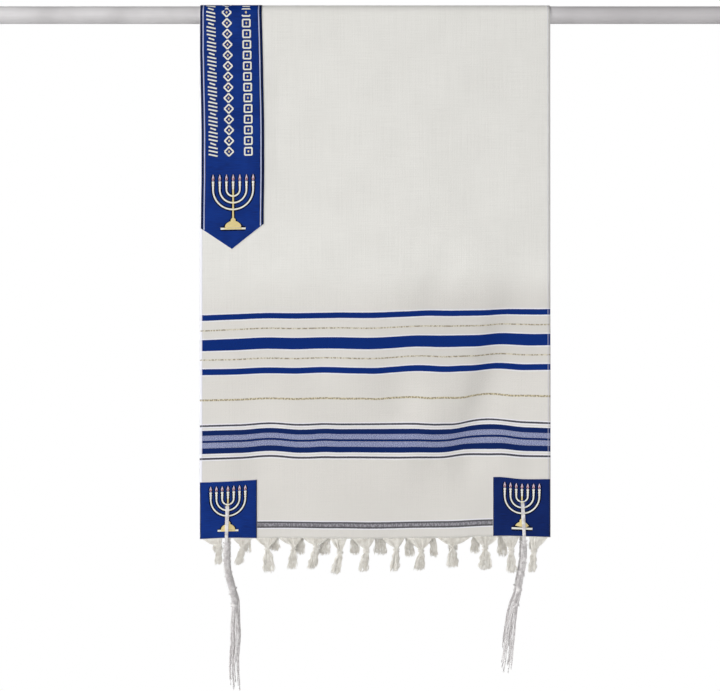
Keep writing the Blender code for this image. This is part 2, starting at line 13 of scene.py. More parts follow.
import bmesh
import bpy
import numpy as np
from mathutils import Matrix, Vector

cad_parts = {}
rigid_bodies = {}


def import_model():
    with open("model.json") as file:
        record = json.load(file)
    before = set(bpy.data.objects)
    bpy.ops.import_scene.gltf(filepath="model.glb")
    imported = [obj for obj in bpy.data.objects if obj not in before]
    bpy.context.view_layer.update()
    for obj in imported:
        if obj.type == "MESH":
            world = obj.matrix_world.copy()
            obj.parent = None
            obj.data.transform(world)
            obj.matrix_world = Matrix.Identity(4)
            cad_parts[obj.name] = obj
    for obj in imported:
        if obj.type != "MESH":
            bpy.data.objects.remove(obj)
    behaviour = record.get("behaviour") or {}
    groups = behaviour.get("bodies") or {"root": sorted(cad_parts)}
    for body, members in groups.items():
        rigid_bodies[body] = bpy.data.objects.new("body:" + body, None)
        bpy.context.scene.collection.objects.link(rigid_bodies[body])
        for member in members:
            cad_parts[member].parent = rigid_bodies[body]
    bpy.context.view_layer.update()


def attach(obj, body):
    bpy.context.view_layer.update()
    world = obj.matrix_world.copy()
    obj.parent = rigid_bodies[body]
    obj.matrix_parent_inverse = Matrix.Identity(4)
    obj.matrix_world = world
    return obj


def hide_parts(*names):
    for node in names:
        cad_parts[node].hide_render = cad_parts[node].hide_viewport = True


MM = 0.001

# The rod
ROD_RADIUS = 14 * MM
ROD_LENGTH = 1240 * MM
ROD_SIDES = 96
ROD_EDGE = 1 * MM

# The cloth
CLOTH_WIDTH = 561 * MM
CLOTH_THICKNESS = 0.9 * MM
CLOTH_CELL = 4.65 * MM
NORMAL_STEP = 1 * MM
WRAP_RADIUS = 15.05 * MM
WRAP_LENGTH = WRAP_RADIUS * math.pi / 2

# The corner patches and their eyelets
PATCH_SIDE = 92 * MM
PATCH_INSET = 0.4 * MM
PATCH_CELLS = 22
SEWN_THICKNESS = 0.6 * MM
SEWN_GAP = 0.05 * MM
SEWN_DISTANCE = CLOTH_THICKNESS / 2 + SEWN_GAP + SEWN_THICKNESS / 2
SEWN_FACE = SEWN_DISTANCE + SEWN_THICKNESS / 2
EYELET_RADIUS = 4.6 * MM
EYELET_ABOVE_HEM = 52 * MM
EYELET_FROM_CENTRE = 236 * MM
EYELET_WINDOW_CELLS = 1.2
PATCH_MOTIF_ACROSS = 235 * MM
PATCH_MOTIF_TIP = 84.5 * MM

# The neckband
BAND_WIDTH = 101.2 * MM
BAND_LEFT_MOST = -280.3 * MM
BAND_SHOULDER_DROP = 341 * MM
BAND_POINT_ACROSS = -229 * MM
BAND_POINT_DEPTH = 37 * MM
BAND_SLANT = 6 * MM
BAND_SHORTER_BEHIND = 26 * MM
BAND_LINE_INSET = 5.4 * MM
BAND_LINE_STEP = 4 * MM
BAND_LINE_MARGIN = 1.2 * MM
BAND_MOTIF_ACROSS = -226.9 * MM
BAND_MOTIF_TIP = 258 * MM
BAND_COLUMNS = 12
BAND_POINT_ROWS = 16
ORNAMENT_ABOVE_MOTIF = 28 * MM
ORNAMENT_ROWS = {"dash": -31.5 * MM, "lozenge": -6 * MM, "square": 25 * MM}
DASH_PITCH = 6 * MM
DASH_LEAN = 1.6 * MM
DASH_HALF = 7.2 * MM
SHORT_DASH_HALF = 4.6 * MM
DASH_GROUND_HALF_WIDTH = 2 * MM
SHAPE_PITCH = 17 * MM
LOZENGE_HALF = 7.2 * MM
SQUARE_HALF = 5.8 * MM
SEED_HALF_LENGTH = 2 * MM
SEED_HALF_WIDTHS = (0.3 * MM, 1.7 * MM, 0.3 * MM)

# The sewing: half widths and heights of its threads, and its running stitches
GROUND_HALF_WIDTH = 1.9 * MM
GROUND_HEIGHT = 0.1 * MM
SILVER_HALF_WIDTH = 1.15 * MM
SILVER_HEIGHT = 0.35 * MM
ORNAMENT_HALF_WIDTH = 1.4 * MM
ORNAMENT_HEIGHT = 0.4 * MM
SEAM_INSET = 2.2 * MM
STITCH_PITCH = 3.2 * MM
STITCH_HALF_WIDTHS = (0.12 * MM, 0.3 * MM, 0.12 * MM)
STITCH_HEIGHT = 0.22 * MM
BUTTONHOLE_OUT = 0.7 * MM
BUTTONHOLE_HALF_WIDTH = 0.9 * MM
BUTTONHOLE_HEIGHT = 0.45 * MM

# The fringe tassels
TASSEL_STRANDS = 44
YARN_RADIUS = 0.56 * MM
YARN_STEPS = 26
YARN_SIDES = 5
KNOT_HALF_WIDTH = 4.9 * MM
KNOT_HALF_DEPTH = 3.8 * MM
KNOT_HEIGHT = 7 * MM
FLYAWAYS = 5
LOCKS = 6
TAIL_PLACES = (0.3, 0.48, 0.66, 0.84, 1)
TAIL_HALF_DEPTH = 3.4 * MM
TIE_RADIUS = 0.75 * MM

# The tzitzit
STRING_RADIUS = 1.12 * MM
PLY_PITCH = 6.5 * MM
STEM_RADIUS = 3.7 * MM
STEM_PITCH = 34 * MM
STEM_KNOT_DROPS = (12 * MM, 36 * MM, 60 * MM, 84 * MM, 108 * MM)
STRING_UNEVEN = 2.5 * MM
STRING_SPREAD = 1.25
STRING_FLARE = 0.35
STRING_ENDS = 8
LOOP_OFFSETS = (-2.1, -0.7, 0.7, 2.1)  # of the four strings, in millimetres
LOOP_STEPS = 120
STEM_STEPS = 90
END_STEPS = 110
STEM_KNOT_HALF_WIDTH = 4.5 * MM
STEM_KNOT_HALF_DEPTH = 4.2 * MM
STEM_TIE_RADIUS = 1.05 * MM
LAST_KNOT_SIZE = 1.22
BUNDLE_HALF_WIDTH = 4.3 * MM
BUNDLE_HALF_DEPTH = 3.0 * MM
FRAY_FILAMENTS = 7

# The camera stands level in front of the cloth, and its view is 1.152 m wide at the cloth
CAMERA_PLACE = (-0.024, -3.5, -0.531)
CAMERA_SENSOR = 36
CAMERA_LENS = CAMERA_SENSOR * (3.5 - 0.0165) / 1.152

# The floor and the light
FLOOR_RADIUS = 2.2
FLOOR_HEIGHT = -1.45
LIGHT_AIM = (0, 0, -0.45)
LIGHT_ALL_ROUND = 0.08


class Fold(NamedTuple):
    """A soft ridge that stands out from a panel and grows towards its hem, in millimetres."""

    centre: float  # across, at the hem
    drift: float  # how far it leans sideways from the hem up to its start
    half_width: float
    depth: float
    start: float  # below the rod's axis
    lift: float  # how far the cloth is drawn up along it


class Crease(NamedTuple):
    """A shorter soft ridge or trough, in millimetres. A trough's depth is below nothing."""

    across: float
    hang: float  # its middle, below the rod's axis
    half_width: float
    half_length: float
    lean: float = 0  # how far its lower end lies to the right of its middle
    depth: float = 0
    lift: float = 0


class Panel(NamedTuple):
    """One hanging side of the cloth, in millimetres."""

    name: str
    outward: int  # the sign of Y
    drop: float  # from the rod's axis down to the hem's left corner
    right_lift: float  # how much higher the hem's right corner hangs
    bow: float  # how much more the right side is drawn up half way down
    drift: float  # sideways, at the hem
    stand_out: float  # how far it hangs out from the rod's side, at the hem
    folds: tuple
    creases: tuple


class Tassel(NamedTuple):
    """A fringe tassel, in millimetres across from the centre and down from the hem."""

    left: float  # of its fan, at the hem
    right: float
    knot: float
    knot_drop: float
    tip: float
    tip_drop: float
    tail_half_width: float


class Way(NamedTuple):
    """A place that a tzitzit or the neckband hangs through, in millimetres from the rod's axis."""

    drop: float
    across: float


class Stripe(NamedTuple):
    """A woven stripe, in millimetres up from the hem."""

    height: float
    width: float
    yarn: str


FRONT_FOLDS = (
    Fold(centre=-222, drift=-10, half_width=46, depth=1.5, start=500, lift=0),
    Fold(centre=-60, drift=0, half_width=110, depth=3, start=600, lift=0.5),
    Fold(centre=138, drift=-10, half_width=56, depth=1.5, start=660, lift=0),
    Fold(centre=285, drift=0, half_width=70, depth=4.5, start=420, lift=0),
)
BACK_FOLDS = (
    Fold(centre=-205, drift=20, half_width=62, depth=8, start=300, lift=2),
    Fold(centre=-92, drift=-14, half_width=46, depth=5, start=380, lift=0),
    Fold(centre=8, drift=18, half_width=54, depth=7, start=340, lift=0.5),
    Fold(centre=112, drift=-22, half_width=48, depth=5, start=420, lift=0),
    Fold(centre=214, drift=-8, half_width=52, depth=6, start=360, lift=1),
)
FRONT_CREASES = (
    Crease(-30, 585, 78, 100, depth=4, lift=-0.5),
    Crease(-125, 640, 100, 75, depth=4),
    Crease(62, 620, 70, 130, depth=2),
    Crease(92, 655, 62, 180, lean=-85, depth=4, lift=-0.5),
    Crease(176, 634, 46, 215, lean=-72, depth=-3.6, lift=3.6),
    Crease(204, 600, 82, 160, lean=-50, depth=-3.4),
    Crease(226, 455, 52, 90, lean=-14, depth=-2.5),
    Crease(18, 728, 80, 50, depth=3),
    Crease(102, 440, 40, 75, lean=-30, depth=-2),
    Crease(44, 612, 46, 70, lean=2, depth=-2.2),
    Crease(146, 735, 36, 50, depth=-1.6),
    Crease(212, 730, 40, 60, depth=2.2),
    Crease(-185, 200, 34, 200, depth=2.2),
    Crease(-280, 735, 75, 70, depth=3),
    Crease(-190, 728, 50, 60, depth=-2),
    Crease(-280, 505, 60, 60, lift=-1.4),
    Crease(-176, 540, 56, 150, lift=1.6),
    Crease(-167, 690, 50, 110, lift=3),
    Crease(-84, 600, 45, 130, lift=1.1),
    Crease(-5, 535, 58, 125, lift=-1.5),
    Crease(3, 605, 26, 60, lift=-1.3),
    Crease(30, 700, 80, 60, lift=-1.1),
    Crease(66, 565, 40, 105, lean=-4, lift=1.4),
    Crease(88, 480, 40, 50, lift=1),
    Crease(104, 680, 45, 90, lift=-2),
    Crease(134, 640, 30, 60, lift=-1.8),
    Crease(200, 675, 45, 50, lift=2.2),
    Crease(234, 700, 40, 95, lean=4, lift=-2),
    Crease(285, 680, 50, 110, lift=-2.8),
    Crease(-190, 790, 75, 100, lift=2.5),
    Crease(0, 830, 70, 60, lift=-1),
    Crease(180, 820, 70, 60, lift=2.4),
    Crease(196, 515, 36, 70, lean=-18, depth=-1.6, lift=1.3),
    Crease(300, 570, 50, 160, depth=3),
    Crease(-200, 690, 120, 120, lift=1.4),
    Crease(-82, 690, 26, 60, lift=1),
    Crease(205, 700, 60, 110, lift=2),
    Crease(86, 620, 26, 50, lift=-1.2),
    Crease(115, 570, 30, 45, lift=-0.9),
    Crease(192, 755, 46, 50, lift=2.6),
    Crease(230, 830, 60, 80, lift=1.3),
    Crease(-240, 840, 60, 60, lift=1.7),
    Crease(-130, 830, 60, 60, lift=1.2),
)
BACK_CREASES = (
    Crease(-150, 600, 56, 200, lean=45, depth=-4, lift=-1),
    Crease(70, 650, 58, 150, lean=-30, depth=-3, lift=-1),
    Crease(165, 560, 50, 170, lean=-35, depth=4, lift=1),
    Crease(-212, 500, 44, 130, lean=10, depth=2, lift=2),
    Crease(-60, 560, 52, 120, lean=-6, depth=1.5, lift=1.5),
    Crease(190, 700, 40, 80, lean=4, depth=-2, lift=-1.5),
)
FRONT = Panel(
    name="front",
    outward=-1,
    drop=841.5,
    right_lift=4,
    bow=7,
    drift=0,
    stand_out=3,
    folds=FRONT_FOLDS,
    creases=FRONT_CREASES,
)
BACK = Panel(
    name="back",
    outward=1,
    drop=815.5,
    right_lift=3,
    bow=5,
    drift=-0.5,
    stand_out=0,
    folds=BACK_FOLDS,
    creases=BACK_CREASES,
)

FRONT_TASSELS = (
    Tassel(-277, -244, -250, 15, -251, 42, 5),
    Tassel(-228, -195, -212, 14, -219, 44, 5),
    Tassel(-192, -156, -172, 16, -170, 56, 8),
    Tassel(-155, -117, -130, 15, -133, 51, 6),
    Tassel(-116, -75, -94, 14, -102, 50, 6),
    Tassel(-72, -45, -56, 22, -64, 58, 6),
    Tassel(-37, 0, -14, 19, -20, 54, 7),
    Tassel(11, 48, 34, 18, 30, 54, 6),
    Tassel(50, 93, 74, 21, 70, 53, 7),
    Tassel(99, 155, 124, 16, 123, 49, 8),
    Tassel(157, 200, 176, 19, 176, 55, 8),
    Tassel(202, 231, 218, 24, 219, 60, 6),
    Tassel(246, 277, 254, 22, 251, 58, 5),
)
BACK_TASSELS = (
    Tassel(-277, -244, -256, 16, -254, 52, 6),
    Tassel(-228, -191, -208, 18, -206, 54, 6),
    Tassel(-190, -146, -165, 15, -161, 50, 7),
    Tassel(-143, -102, -121, 17, -121, 55, 6),
    Tassel(-99, -55, -78, 20, -83, 57, 7),
    Tassel(-53, -14, -33, 18, -32, 56, 6),
    Tassel(-12, 30, 9, 17, 9, 58, 8),
    Tassel(32, 72, 54, 19, 56, 60, 6),
    Tassel(74, 110, 93, 16, 96, 61, 5),
    Tassel(112, 141, 127, 18, 125, 52, 6),
    Tassel(144, 184, 163, 20, 162, 55, 6),
    Tassel(187, 229, 206, 17, 206, 62, 7),
    Tassel(246, 277, 258, 15, 256, 50, 6),
)
LEFT_WAYS = (
    Way(790, -236),
    Way(868, -237.5),
    Way(893, -236.5),
    Way(920, -229.5),
    Way(935, -225.5),
    Way(970, -225),
    Way(1005, -224),
    Way(1047, -226),
    Way(1082, -223),
)
RIGHT_WAYS = (
    Way(787, 236),
    Way(850, 238.4),
    Way(880, 237),
    Way(906, 232),
    Way(932, 228),
    Way(957, 221.5),
    Way(983, 217),
    Way(1034, 211.5),
    Way(1055, 207.5),
)
SIDES = (("left", -1, LEFT_WAYS), ("right", 1, RIGHT_WAYS))

# The neckband's middle line on either panel
BAND_COURSE = (
    Way(0, -231.4),
    Way(30, -230.5),
    Way(74, -229.4),
    Way(112, -228.8),
    Way(151, -227.9),
    Way(190, -227.4),
    Way(266, -227.4),
    Way(304, -228),
    Way(341, -228.3),
)

# From the hem upwards, the same at both ends of the cloth
STRIPES = (
    Stripe(355.3, 9, "blue"),
    Stripe(335, 2.2, "fine gold"),
    Stripe(311, 18.5, "blue"),
    Stripe(287, 2.2, "fine gold"),
    Stripe(267.6, 9.6, "blue"),
    Stripe(222.4, 3, "gold"),
    Stripe(181, 3, "grey"),
    Stripe(161.8, 8.8, "heather"),
    Stripe(149.2, 8.8, "heather"),
    Stripe(169.5, 8, "navy"),
    Stripe(155.6, 3.8, "navy"),
    Stripe(140.8, 9, "navy"),
    Stripe(128.5, 3.2, "grey"),
    Stripe(21.2, 10, "slate"),
)
HEM_STRIPE = "slate"
NAVY_AND_HEATHER = Stripe(154.9, 37.2, "navy")

# Where the cloth's colour changes, in millimetres up from the hem or across from its centre line
# Painted shade: the cloth darkens on its way down from 440 to 330 mm above the hem
PAINTED_LOW_SHADE_HEIGHTS = (330.0, 440.0)
# Painted shade: a band round this height darkens towards the right
PAINTED_BAND_SHADE_HEIGHT = 326.0
SELVAGE_LINE = 276.6
LEFT_SELVAGE = (-277.2, -276.6)
OUTERMOST_THREADS = (279.6, 280.1)

# Colours as they reflect, in linear light
IVORY = (0.755, 0.745, 0.71)
IVORY_CLOUDED = (0.735, 0.725, 0.69)
# Painted shade on the lower cloth
IVORY_PAINTED_LOW_SHADE = (0.655, 0.633, 0.598)
# Painted shade in a band across the stripes, deeper towards the right
IVORY_PAINTED_BAND_SHADE = (0.60, 0.58, 0.55)
EDGE_WHITE = (0.80, 0.80, 0.86)
BLUE = (0.003, 0.027, 0.20)
BLUE_DEEP = (0.004, 0.020, 0.13)
NAVY = (0.003, 0.006, 0.032)
NAVY_STRIPE = (0.005, 0.018, 0.10)
HEATHER_DARK = (0.08, 0.10, 0.24)
HEATHER_LIGHT = (0.40, 0.43, 0.58)
GREY_THREAD = (0.07, 0.07, 0.085)
SLATE_DARK = (0.085, 0.083, 0.092)
SLATE_LIGHT = (0.34, 0.33, 0.36)
GOLD_DARK = (0.22, 0.18, 0.10)
GOLD_LIGHT = (0.62, 0.55, 0.36)
CREAM_THREAD = (0.84, 0.84, 0.81)
CREAM_DARK = (0.62, 0.60, 0.50)
SILVER_THREAD = (0.50, 0.56, 0.86)
SILVER_DARK = (0.30, 0.32, 0.46)
STRAW_THREAD = (0.80, 0.68, 0.34)
STRAW_DARK = (0.55, 0.42, 0.15)
FLAME_THREAD = (0.34, 0.07, 0.08)
FLAME_DARK = (0.20, 0.05, 0.07)
PALE_FLAME_THREAD = (0.72, 0.62, 0.72)
PALE_FLAME_DARK = (0.42, 0.30, 0.40)
SHADE_THREAD = (0.003, 0.005, 0.018)
SHADE_DARK = (0.002, 0.003, 0.010)
BLUE_THREAD = (0.012, 0.04, 0.22)
YARN_LIGHT = (0.88, 0.86, 0.81)
YARN_DARK = (0.71, 0.68, 0.62)
STRING_LIGHT = (0.88, 0.86, 0.855)
STRING_DARK = (0.58, 0.555, 0.555)
ROD_GREY = (0.66, 0.645, 0.65)
ROD_GREY_DARK = (0.52, 0.505, 0.51)
# Painted shade for the rod's right end
ROD_GREY_PAINTED_SHADE = (0.46, 0.44, 0.45)
SLUB_SHADE = (0.60, 0.59, 0.56)
SELVAGE_THREAD = (0.55, 0.55, 0.68)
SATIN_SHEEN = (0.006, 0.036, 0.23)
FLOOR_PALE = (0.84, 0.84, 0.84)
FLOOR_GREY = (0.80, 0.80, 0.80)


# The cloth's form


def hill(reach):
    """A smooth hill over reach: 1 at 0, and 0 from 1 outwards."""
    return np.cos(np.clip(np.abs(reach), 0, 1) * math.pi / 2) ** 2


def fold_share(fold, across, hang, drop):
    """How much of a fold stands at a place, from 0 at its edges and start to 1 on its ridge at the hem."""
    grown = np.clip((hang - fold.start * MM) / (drop - fold.start * MM), 0, 1)
    middle = (fold.centre + fold.drift * (1 - grown)) * MM
    return hill((across - middle) / (fold.half_width * MM)) * np.sin(grown * math.pi / 2)


def crease_share(crease, across, hang):
    below = (hang - crease.hang * MM) / (crease.half_length * MM)
    middle = (crease.across + crease.lean * below) * MM
    return hill((across - middle) / (crease.half_width * MM)) * hill(below)


def hanging(panel, across, hang):
    """How far each place of a panel has come from where the cloth leaves the rod."""
    drop = panel.drop * MM
    down = hang / drop
    to_right = across / CLOTH_WIDTH + 0.5
    lift = to_right * (panel.right_lift * down + 4 * panel.bow * down * (1 - down))
    depth = panel.stand_out * np.sin(down * math.pi / 2)
    for fold in panel.folds:
        share = fold_share(fold, across, hang, drop)
        depth = depth + fold.depth * share
        lift = lift + fold.lift * share
    for crease in panel.creases:
        share = crease_share(crease, across, hang)
        depth = depth + crease.depth * share
        lift = lift + crease.lift * share
    sideways = panel.drift * down * MM
    return np.stack((sideways, panel.outward * depth * MM, lift * MM - hang), axis=-1)


def cloth_points(across, along):
    """The middle of the cloth's thickness at flat places, for numbers or arrays of them."""
    across, along = np.broadcast_arrays(np.asarray(across, float), np.asarray(along, float))
    turn = np.clip(along / WRAP_RADIUS, -math.pi / 2, math.pi / 2)
    wrapped = np.stack((across, -WRAP_RADIUS * np.sin(turn), WRAP_RADIUS * np.cos(turn)), axis=-1)
    hang = np.maximum(np.abs(along) - WRAP_LENGTH, 0)
    in_front = (along >= 0)[..., None]
    return wrapped + np.where(in_front, hanging(FRONT, across, hang), hanging(BACK, across, hang))


def raised_points(across, along, distance):
    """Points of the cloth moved out from the rod's side, along the cloth's own direction there."""
    sideways = cloth_points(across + NORMAL_STEP, along) - cloth_points(across - NORMAL_STEP, along)
    forward = cloth_points(across, along + NORMAL_STEP) - cloth_points(across, along - NORMAL_STEP)
    out = np.cross(forward, sideways)
    out /= np.linalg.norm(out, axis=-1, keepdims=True)
    return cloth_points(across, along) + out * np.asarray(distance, float)[..., None]


def along_at(panel, hang):
    """The place along the flat cloth that hangs so far below the rod's axis on a panel."""
    return -panel.outward * (WRAP_LENGTH + hang)


def hem_at(panel, height=0):
    """The place along the flat cloth of a panel's hem, or so far above it."""
    return along_at(panel, panel.drop * MM - height)


def above_hem(along):
    """How far each place lies from the end of the cloth that it hangs towards."""
    return WRAP_LENGTH + np.where(along >= 0, FRONT.drop, BACK.drop) * MM - np.abs(along)


# Flat cells that become cloth


def flat_cells(across, along):
    """A flat sheet of cells, from a row of places across and along for each of its lines."""
    bm = bmesh.new()
    lines = [[bm.verts.new((x, y, 0)) for x, y in zip(*line)] for line in zip(across, along)]
    for line, next_line in zip(lines, lines[1:]):
        for i in range(len(line) - 1):
            bm.faces.new((line[i], line[i + 1], next_line[i + 1], next_line[i]))
    return bm


def punch(bm, across, along, cell):
    """Makes an eyelet: the cells around it come out, and rings of new ones lead in to the hole's edge."""
    middle = Vector((across, along, 0))
    window = EYELET_RADIUS + EYELET_WINDOW_CELLS * cell

    def reach(place):
        away = place - middle
        return max(abs(away.x), abs(away.y))

    inside = [face for face in bm.faces if reach(face.calc_center_median()) < window]
    bmesh.ops.delete(bm, geom=inside, context="FACES")
    rim = [vert for vert in bm.verts if vert.is_boundary and reach(vert.co) < window + cell]
    rim.sort(key=lambda vert: math.atan2(vert.co.y - along, vert.co.x - across))
    circles = [rim]
    for share in (0.5, 1):
        circle = []
        for vert in rim:
            away = vert.co - middle
            circle.append(bm.verts.new(middle + away.lerp(away.normalized() * EYELET_RADIUS, share)))
        circles.append(circle)
    for outer, inner in zip(circles, circles[1:]):
        for i in range(len(rim)):
            bm.faces.new((outer[i], outer[i - 1], inner[i - 1], inner[i]))


def store(mesh, name, values):
    """Keeps a vector at each point of a mesh, for its material."""
    attribute = mesh.attributes.new(name, "FLOAT_VECTOR", "POINT")
    attribute.data.foreach_set("vector", np.asarray(values, np.float32).ravel())


def mesh_of(name, bm):
    mesh = bpy.data.meshes.new(name)
    bm.to_mesh(mesh)
    bm.free()
    return mesh


def add_object(name, data):
    made = bpy.data.objects.new(name, data)
    bpy.context.scene.collection.objects.link(made)
    return made


def make_cloth(name, bm, distance, thickness, material, edge_distance=None):
    """Hangs a flat sheet of cells, and keeps each point's flat place in millimetres for its material."""
    bmesh.ops.recalc_face_normals(bm, faces=bm.faces[:])
    mesh = mesh_of(name, bm)
    flat = np.empty(len(mesh.vertices) * 3)
    mesh.vertices.foreach_get("co", flat)
    across, along, _ = flat.reshape(-1, 3).T
    points = raised_points(across, along, np.full_like(across, distance))
    mesh.vertices.foreach_set("co", points.ravel())
    place = np.stack((across, above_hem(along), along), axis=-1) / MM
    store(mesh, "flat", place)
    if edge_distance:
        store(mesh, "edge", edge_distance(across, along) / MM)
    mesh.materials.append(material)
    mesh.shade_smooth()
    mesh.update()
    cloth = add_object(name, mesh)
    wall = cloth.modifiers.new("Thickness", "SOLIDIFY")
    wall.thickness = thickness
    wall.offset = 0
    return cloth


def shawl_cells():
    half = CLOTH_WIDTH / 2
    columns = np.linspace(-half, half, round(CLOTH_WIDTH / CLOTH_CELL) + 1)
    start, end = hem_at(BACK), hem_at(FRONT)
    rows = np.linspace(start, end, round((end - start) / CLOTH_CELL) + 1)
    across, along = np.meshgrid(columns, rows)
    bm = flat_cells(across, along)
    for panel in (FRONT, BACK):
        for _, side, _ in SIDES:
            place = hem_at(panel, EYELET_ABOVE_HEM)
            punch(bm, side * EYELET_FROM_CENTRE, place, CLOTH_CELL)
    return bm


def patch_cells(panel, side):
    outer = side * (CLOTH_WIDTH / 2 - PATCH_INSET)
    inner = side * (CLOTH_WIDTH / 2 - PATCH_SIDE)
    columns = np.linspace(outer, inner, PATCH_CELLS + 1)
    low = hem_at(panel, PATCH_INSET)
    high = hem_at(panel, PATCH_SIDE)
    rows = np.linspace(low, high, PATCH_CELLS + 1)
    across, along = np.meshgrid(columns, rows)
    bm = flat_cells(across, along)
    place = hem_at(panel, EYELET_ABOVE_HEM)
    punch(bm, side * EYELET_FROM_CENTRE, place, PATCH_SIDE / PATCH_CELLS)
    return bm


def patch_edges(across, along):
    """How far each place of a patch lies in from its sides, and from its top and bottom."""
    from_side = CLOTH_WIDTH / 2 - PATCH_INSET - np.abs(across)
    up = above_hem(along) - PATCH_INSET
    high = PATCH_SIDE - PATCH_INSET
    to_side = np.minimum(from_side, high - from_side)
    return np.stack((to_side, np.minimum(up, high - up), np.zeros_like(up)), axis=-1)


def band_middle(hang):
    """The neckband's middle line, which leans a little to the right on its way down."""
    drops, middles = np.array(BAND_COURSE).T * MM
    return np.interp(hang, drops, middles)


def band_left(hang):
    return np.maximum(band_middle(hang) - BAND_WIDTH / 2, BAND_LEFT_MOST)


def band_right(hang):
    return band_middle(hang) + BAND_WIDTH / 2


def point_slope():
    """How steeply the left side of the neckband's point falls, as an angle."""
    return math.atan2(BAND_POINT_DEPTH, BAND_POINT_ACROSS - float(band_left(BAND_SHOULDER_DROP)))


def band_end(across, in_front=True):
    """How far down the neckband hangs at a place across it, down to its point."""
    shoulder = BAND_SHOULDER_DROP
    ends = (shoulder + BAND_SLANT / 2, shoulder + BAND_POINT_DEPTH, shoulder - BAND_SLANT / 2)
    corners = (band_left(shoulder), BAND_POINT_ACROSS, band_right(shoulder))
    level = np.interp(across, corners, ends)
    return level - np.where(in_front, 0, BAND_SHORTER_BEHIND)


def band_cells():
    """The neckband's cells: level lines over the rod, and lines that bend into a point at both ends."""
    to_point = (BAND_POINT_ACROSS - band_left(BAND_SHOULDER_DROP)) / BAND_WIDTH
    first = np.linspace(0, to_point, BAND_COLUMNS // 2 + 1)
    second = np.linspace(to_point, 1, BAND_COLUMNS // 2 + 1)[1:]
    shares = np.concatenate((first, second))
    front_level = BAND_SHOULDER_DROP - 2 * BAND_SLANT
    back_level = front_level - BAND_SHORTER_BEHIND
    start, end = along_at(BACK, back_level), along_at(FRONT, front_level)
    across_rows, along_rows = [], []

    def places_across(hang):
        return band_left(hang) + shares * (band_right(hang) - band_left(hang))

    def add_bent(panel, level, bend):
        across = places_across(level)
        across_rows.append(across)
        along_rows.append(along_at(panel, level + bend * (band_end(across, panel is FRONT) - level)))

    bends = np.linspace(0, 1, BAND_POINT_ROWS + 1)[1:]
    for bend in reversed(bends):
        add_bent(BACK, back_level, bend)
    for along in np.linspace(start, end, round((end - start) / CLOTH_CELL) + 1):
        across = places_across(max(abs(along) - WRAP_LENGTH, 0))
        across_rows.append(across)
        along_rows.append(np.full_like(across, along))
    for bend in bends:
        add_bent(FRONT, front_level, bend)
    return flat_cells(across_rows, along_rows)


def band_edges(across, along):
    """How far each place of the neckband lies in from its sides, and from its pointed end."""
    hang = np.maximum(np.abs(along) - WRAP_LENGTH, 0)
    to_side = np.minimum(across - band_left(hang), band_right(hang) - across)
    to_end = band_end(across, along >= 0) - hang
    slope = point_slope()
    return np.stack((to_side, to_end * math.cos(slope), np.zeros_like(hang)), axis=-1)


# Needlework: padded stitches that lie on the cloth


def distance_along(path):
    """How far each point of a path lies from its start, along the path."""
    steps = np.linalg.norm(np.diff(path, axis=0), axis=1)
    return np.concatenate(((0,), np.cumsum(steps)))


class Needlework:
    """Gathers domed strips of stitches, each in a thread, and hangs them as one piece."""

    DOME = ((-1, -0.15), (-0.62, 0.75), (0, 1), (0.62, 0.75), (1, -0.15))

    def __init__(self, threads):
        self.threads = threads
        self.places = []
        self.stitches = []
        self.faces = []
        self.finishes = []

    def strip(self, path, half_widths, height, thread):
        """A strip along a path of flat places (across, along), with its half width at each."""
        path = np.asarray(path, float)
        half_widths = np.broadcast_to(np.asarray(half_widths, float), len(path))
        run = np.gradient(path, axis=0)
        run /= np.linalg.norm(run, axis=1, keepdims=True)
        sideways = np.stack((run[:, 1], -run[:, 0]), axis=-1)
        distance = distance_along(path)
        first = len(self.places)
        wide = len(self.DOME)
        for i, place in enumerate(path):
            for share, rise in self.DOME:
                across, along = place + sideways[i] * share * half_widths[i]
                self.places.append((across, along, rise * height))
                self.stitches.append((share, distance[i] / MM, 0))
        for i in range(len(path) - 1):
            for k in range(wide - 1):
                corner = first + i * wide + k
                self.faces.append((corner, corner + 1, corner + wide + 1, corner + wide))
                self.finishes.append(list(self.threads).index(thread))

    def hang(self, name, distance):
        across, along, rise = np.array(self.places).T
        points = raised_points(across, along, distance + rise)
        mesh = bpy.data.meshes.new(name)
        mesh.from_pydata([tuple(point) for point in points], [], self.faces)
        store(mesh, "stitch", self.stitches)
        for material in self.threads.values():
            mesh.materials.append(material)
        mesh.polygons.foreach_set("material_index", self.finishes)
        mesh.shade_smooth()
        bm = bmesh.new()
        bm.from_mesh(mesh)
        bmesh.ops.recalc_face_normals(bm, faces=bm.faces[:])
        bm.to_mesh(mesh)
        bm.free()
        return add_object(name, mesh)


class Motif(NamedTuple):
    """A lampstand with seven branches, in millimetres down from its flames' tips and out from its stem."""

    branch_gap: float
    flame: float
    cup: float
    stem_end: float
    dome: float
    base: float
    line: float  # half the width of a branch


BAND_MOTIF = Motif(branch_gap=10.7, flame=11, cup=13, stem_end=71, dome=15, base=20, line=1.5)
PATCH_MOTIF = Motif(branch_gap=9.2, flame=9, cup=11.5, stem_end=58, dome=12.5, base=16.5, line=1.4)
FLAME_OUTLINE = ((0, 0.12), (0.25, 0.5), (0.55, 1), (0.8, 0.95), (1, 0.5))
LOZENGE = ((0, -1), (1, 0), (0, 1), (-1, 0), (0, -1))
SQUARE = ((-1, -1), (1, -1), (1, 1), (-1, 1), (-1, -1))
CUP_OUTLINE = ((0, 1.1), (0.16, 1.3), (0.3, 0.8), (0.5, 1.15), (0.65, 0.75), (0.85, 0.95), (1, 0.7))


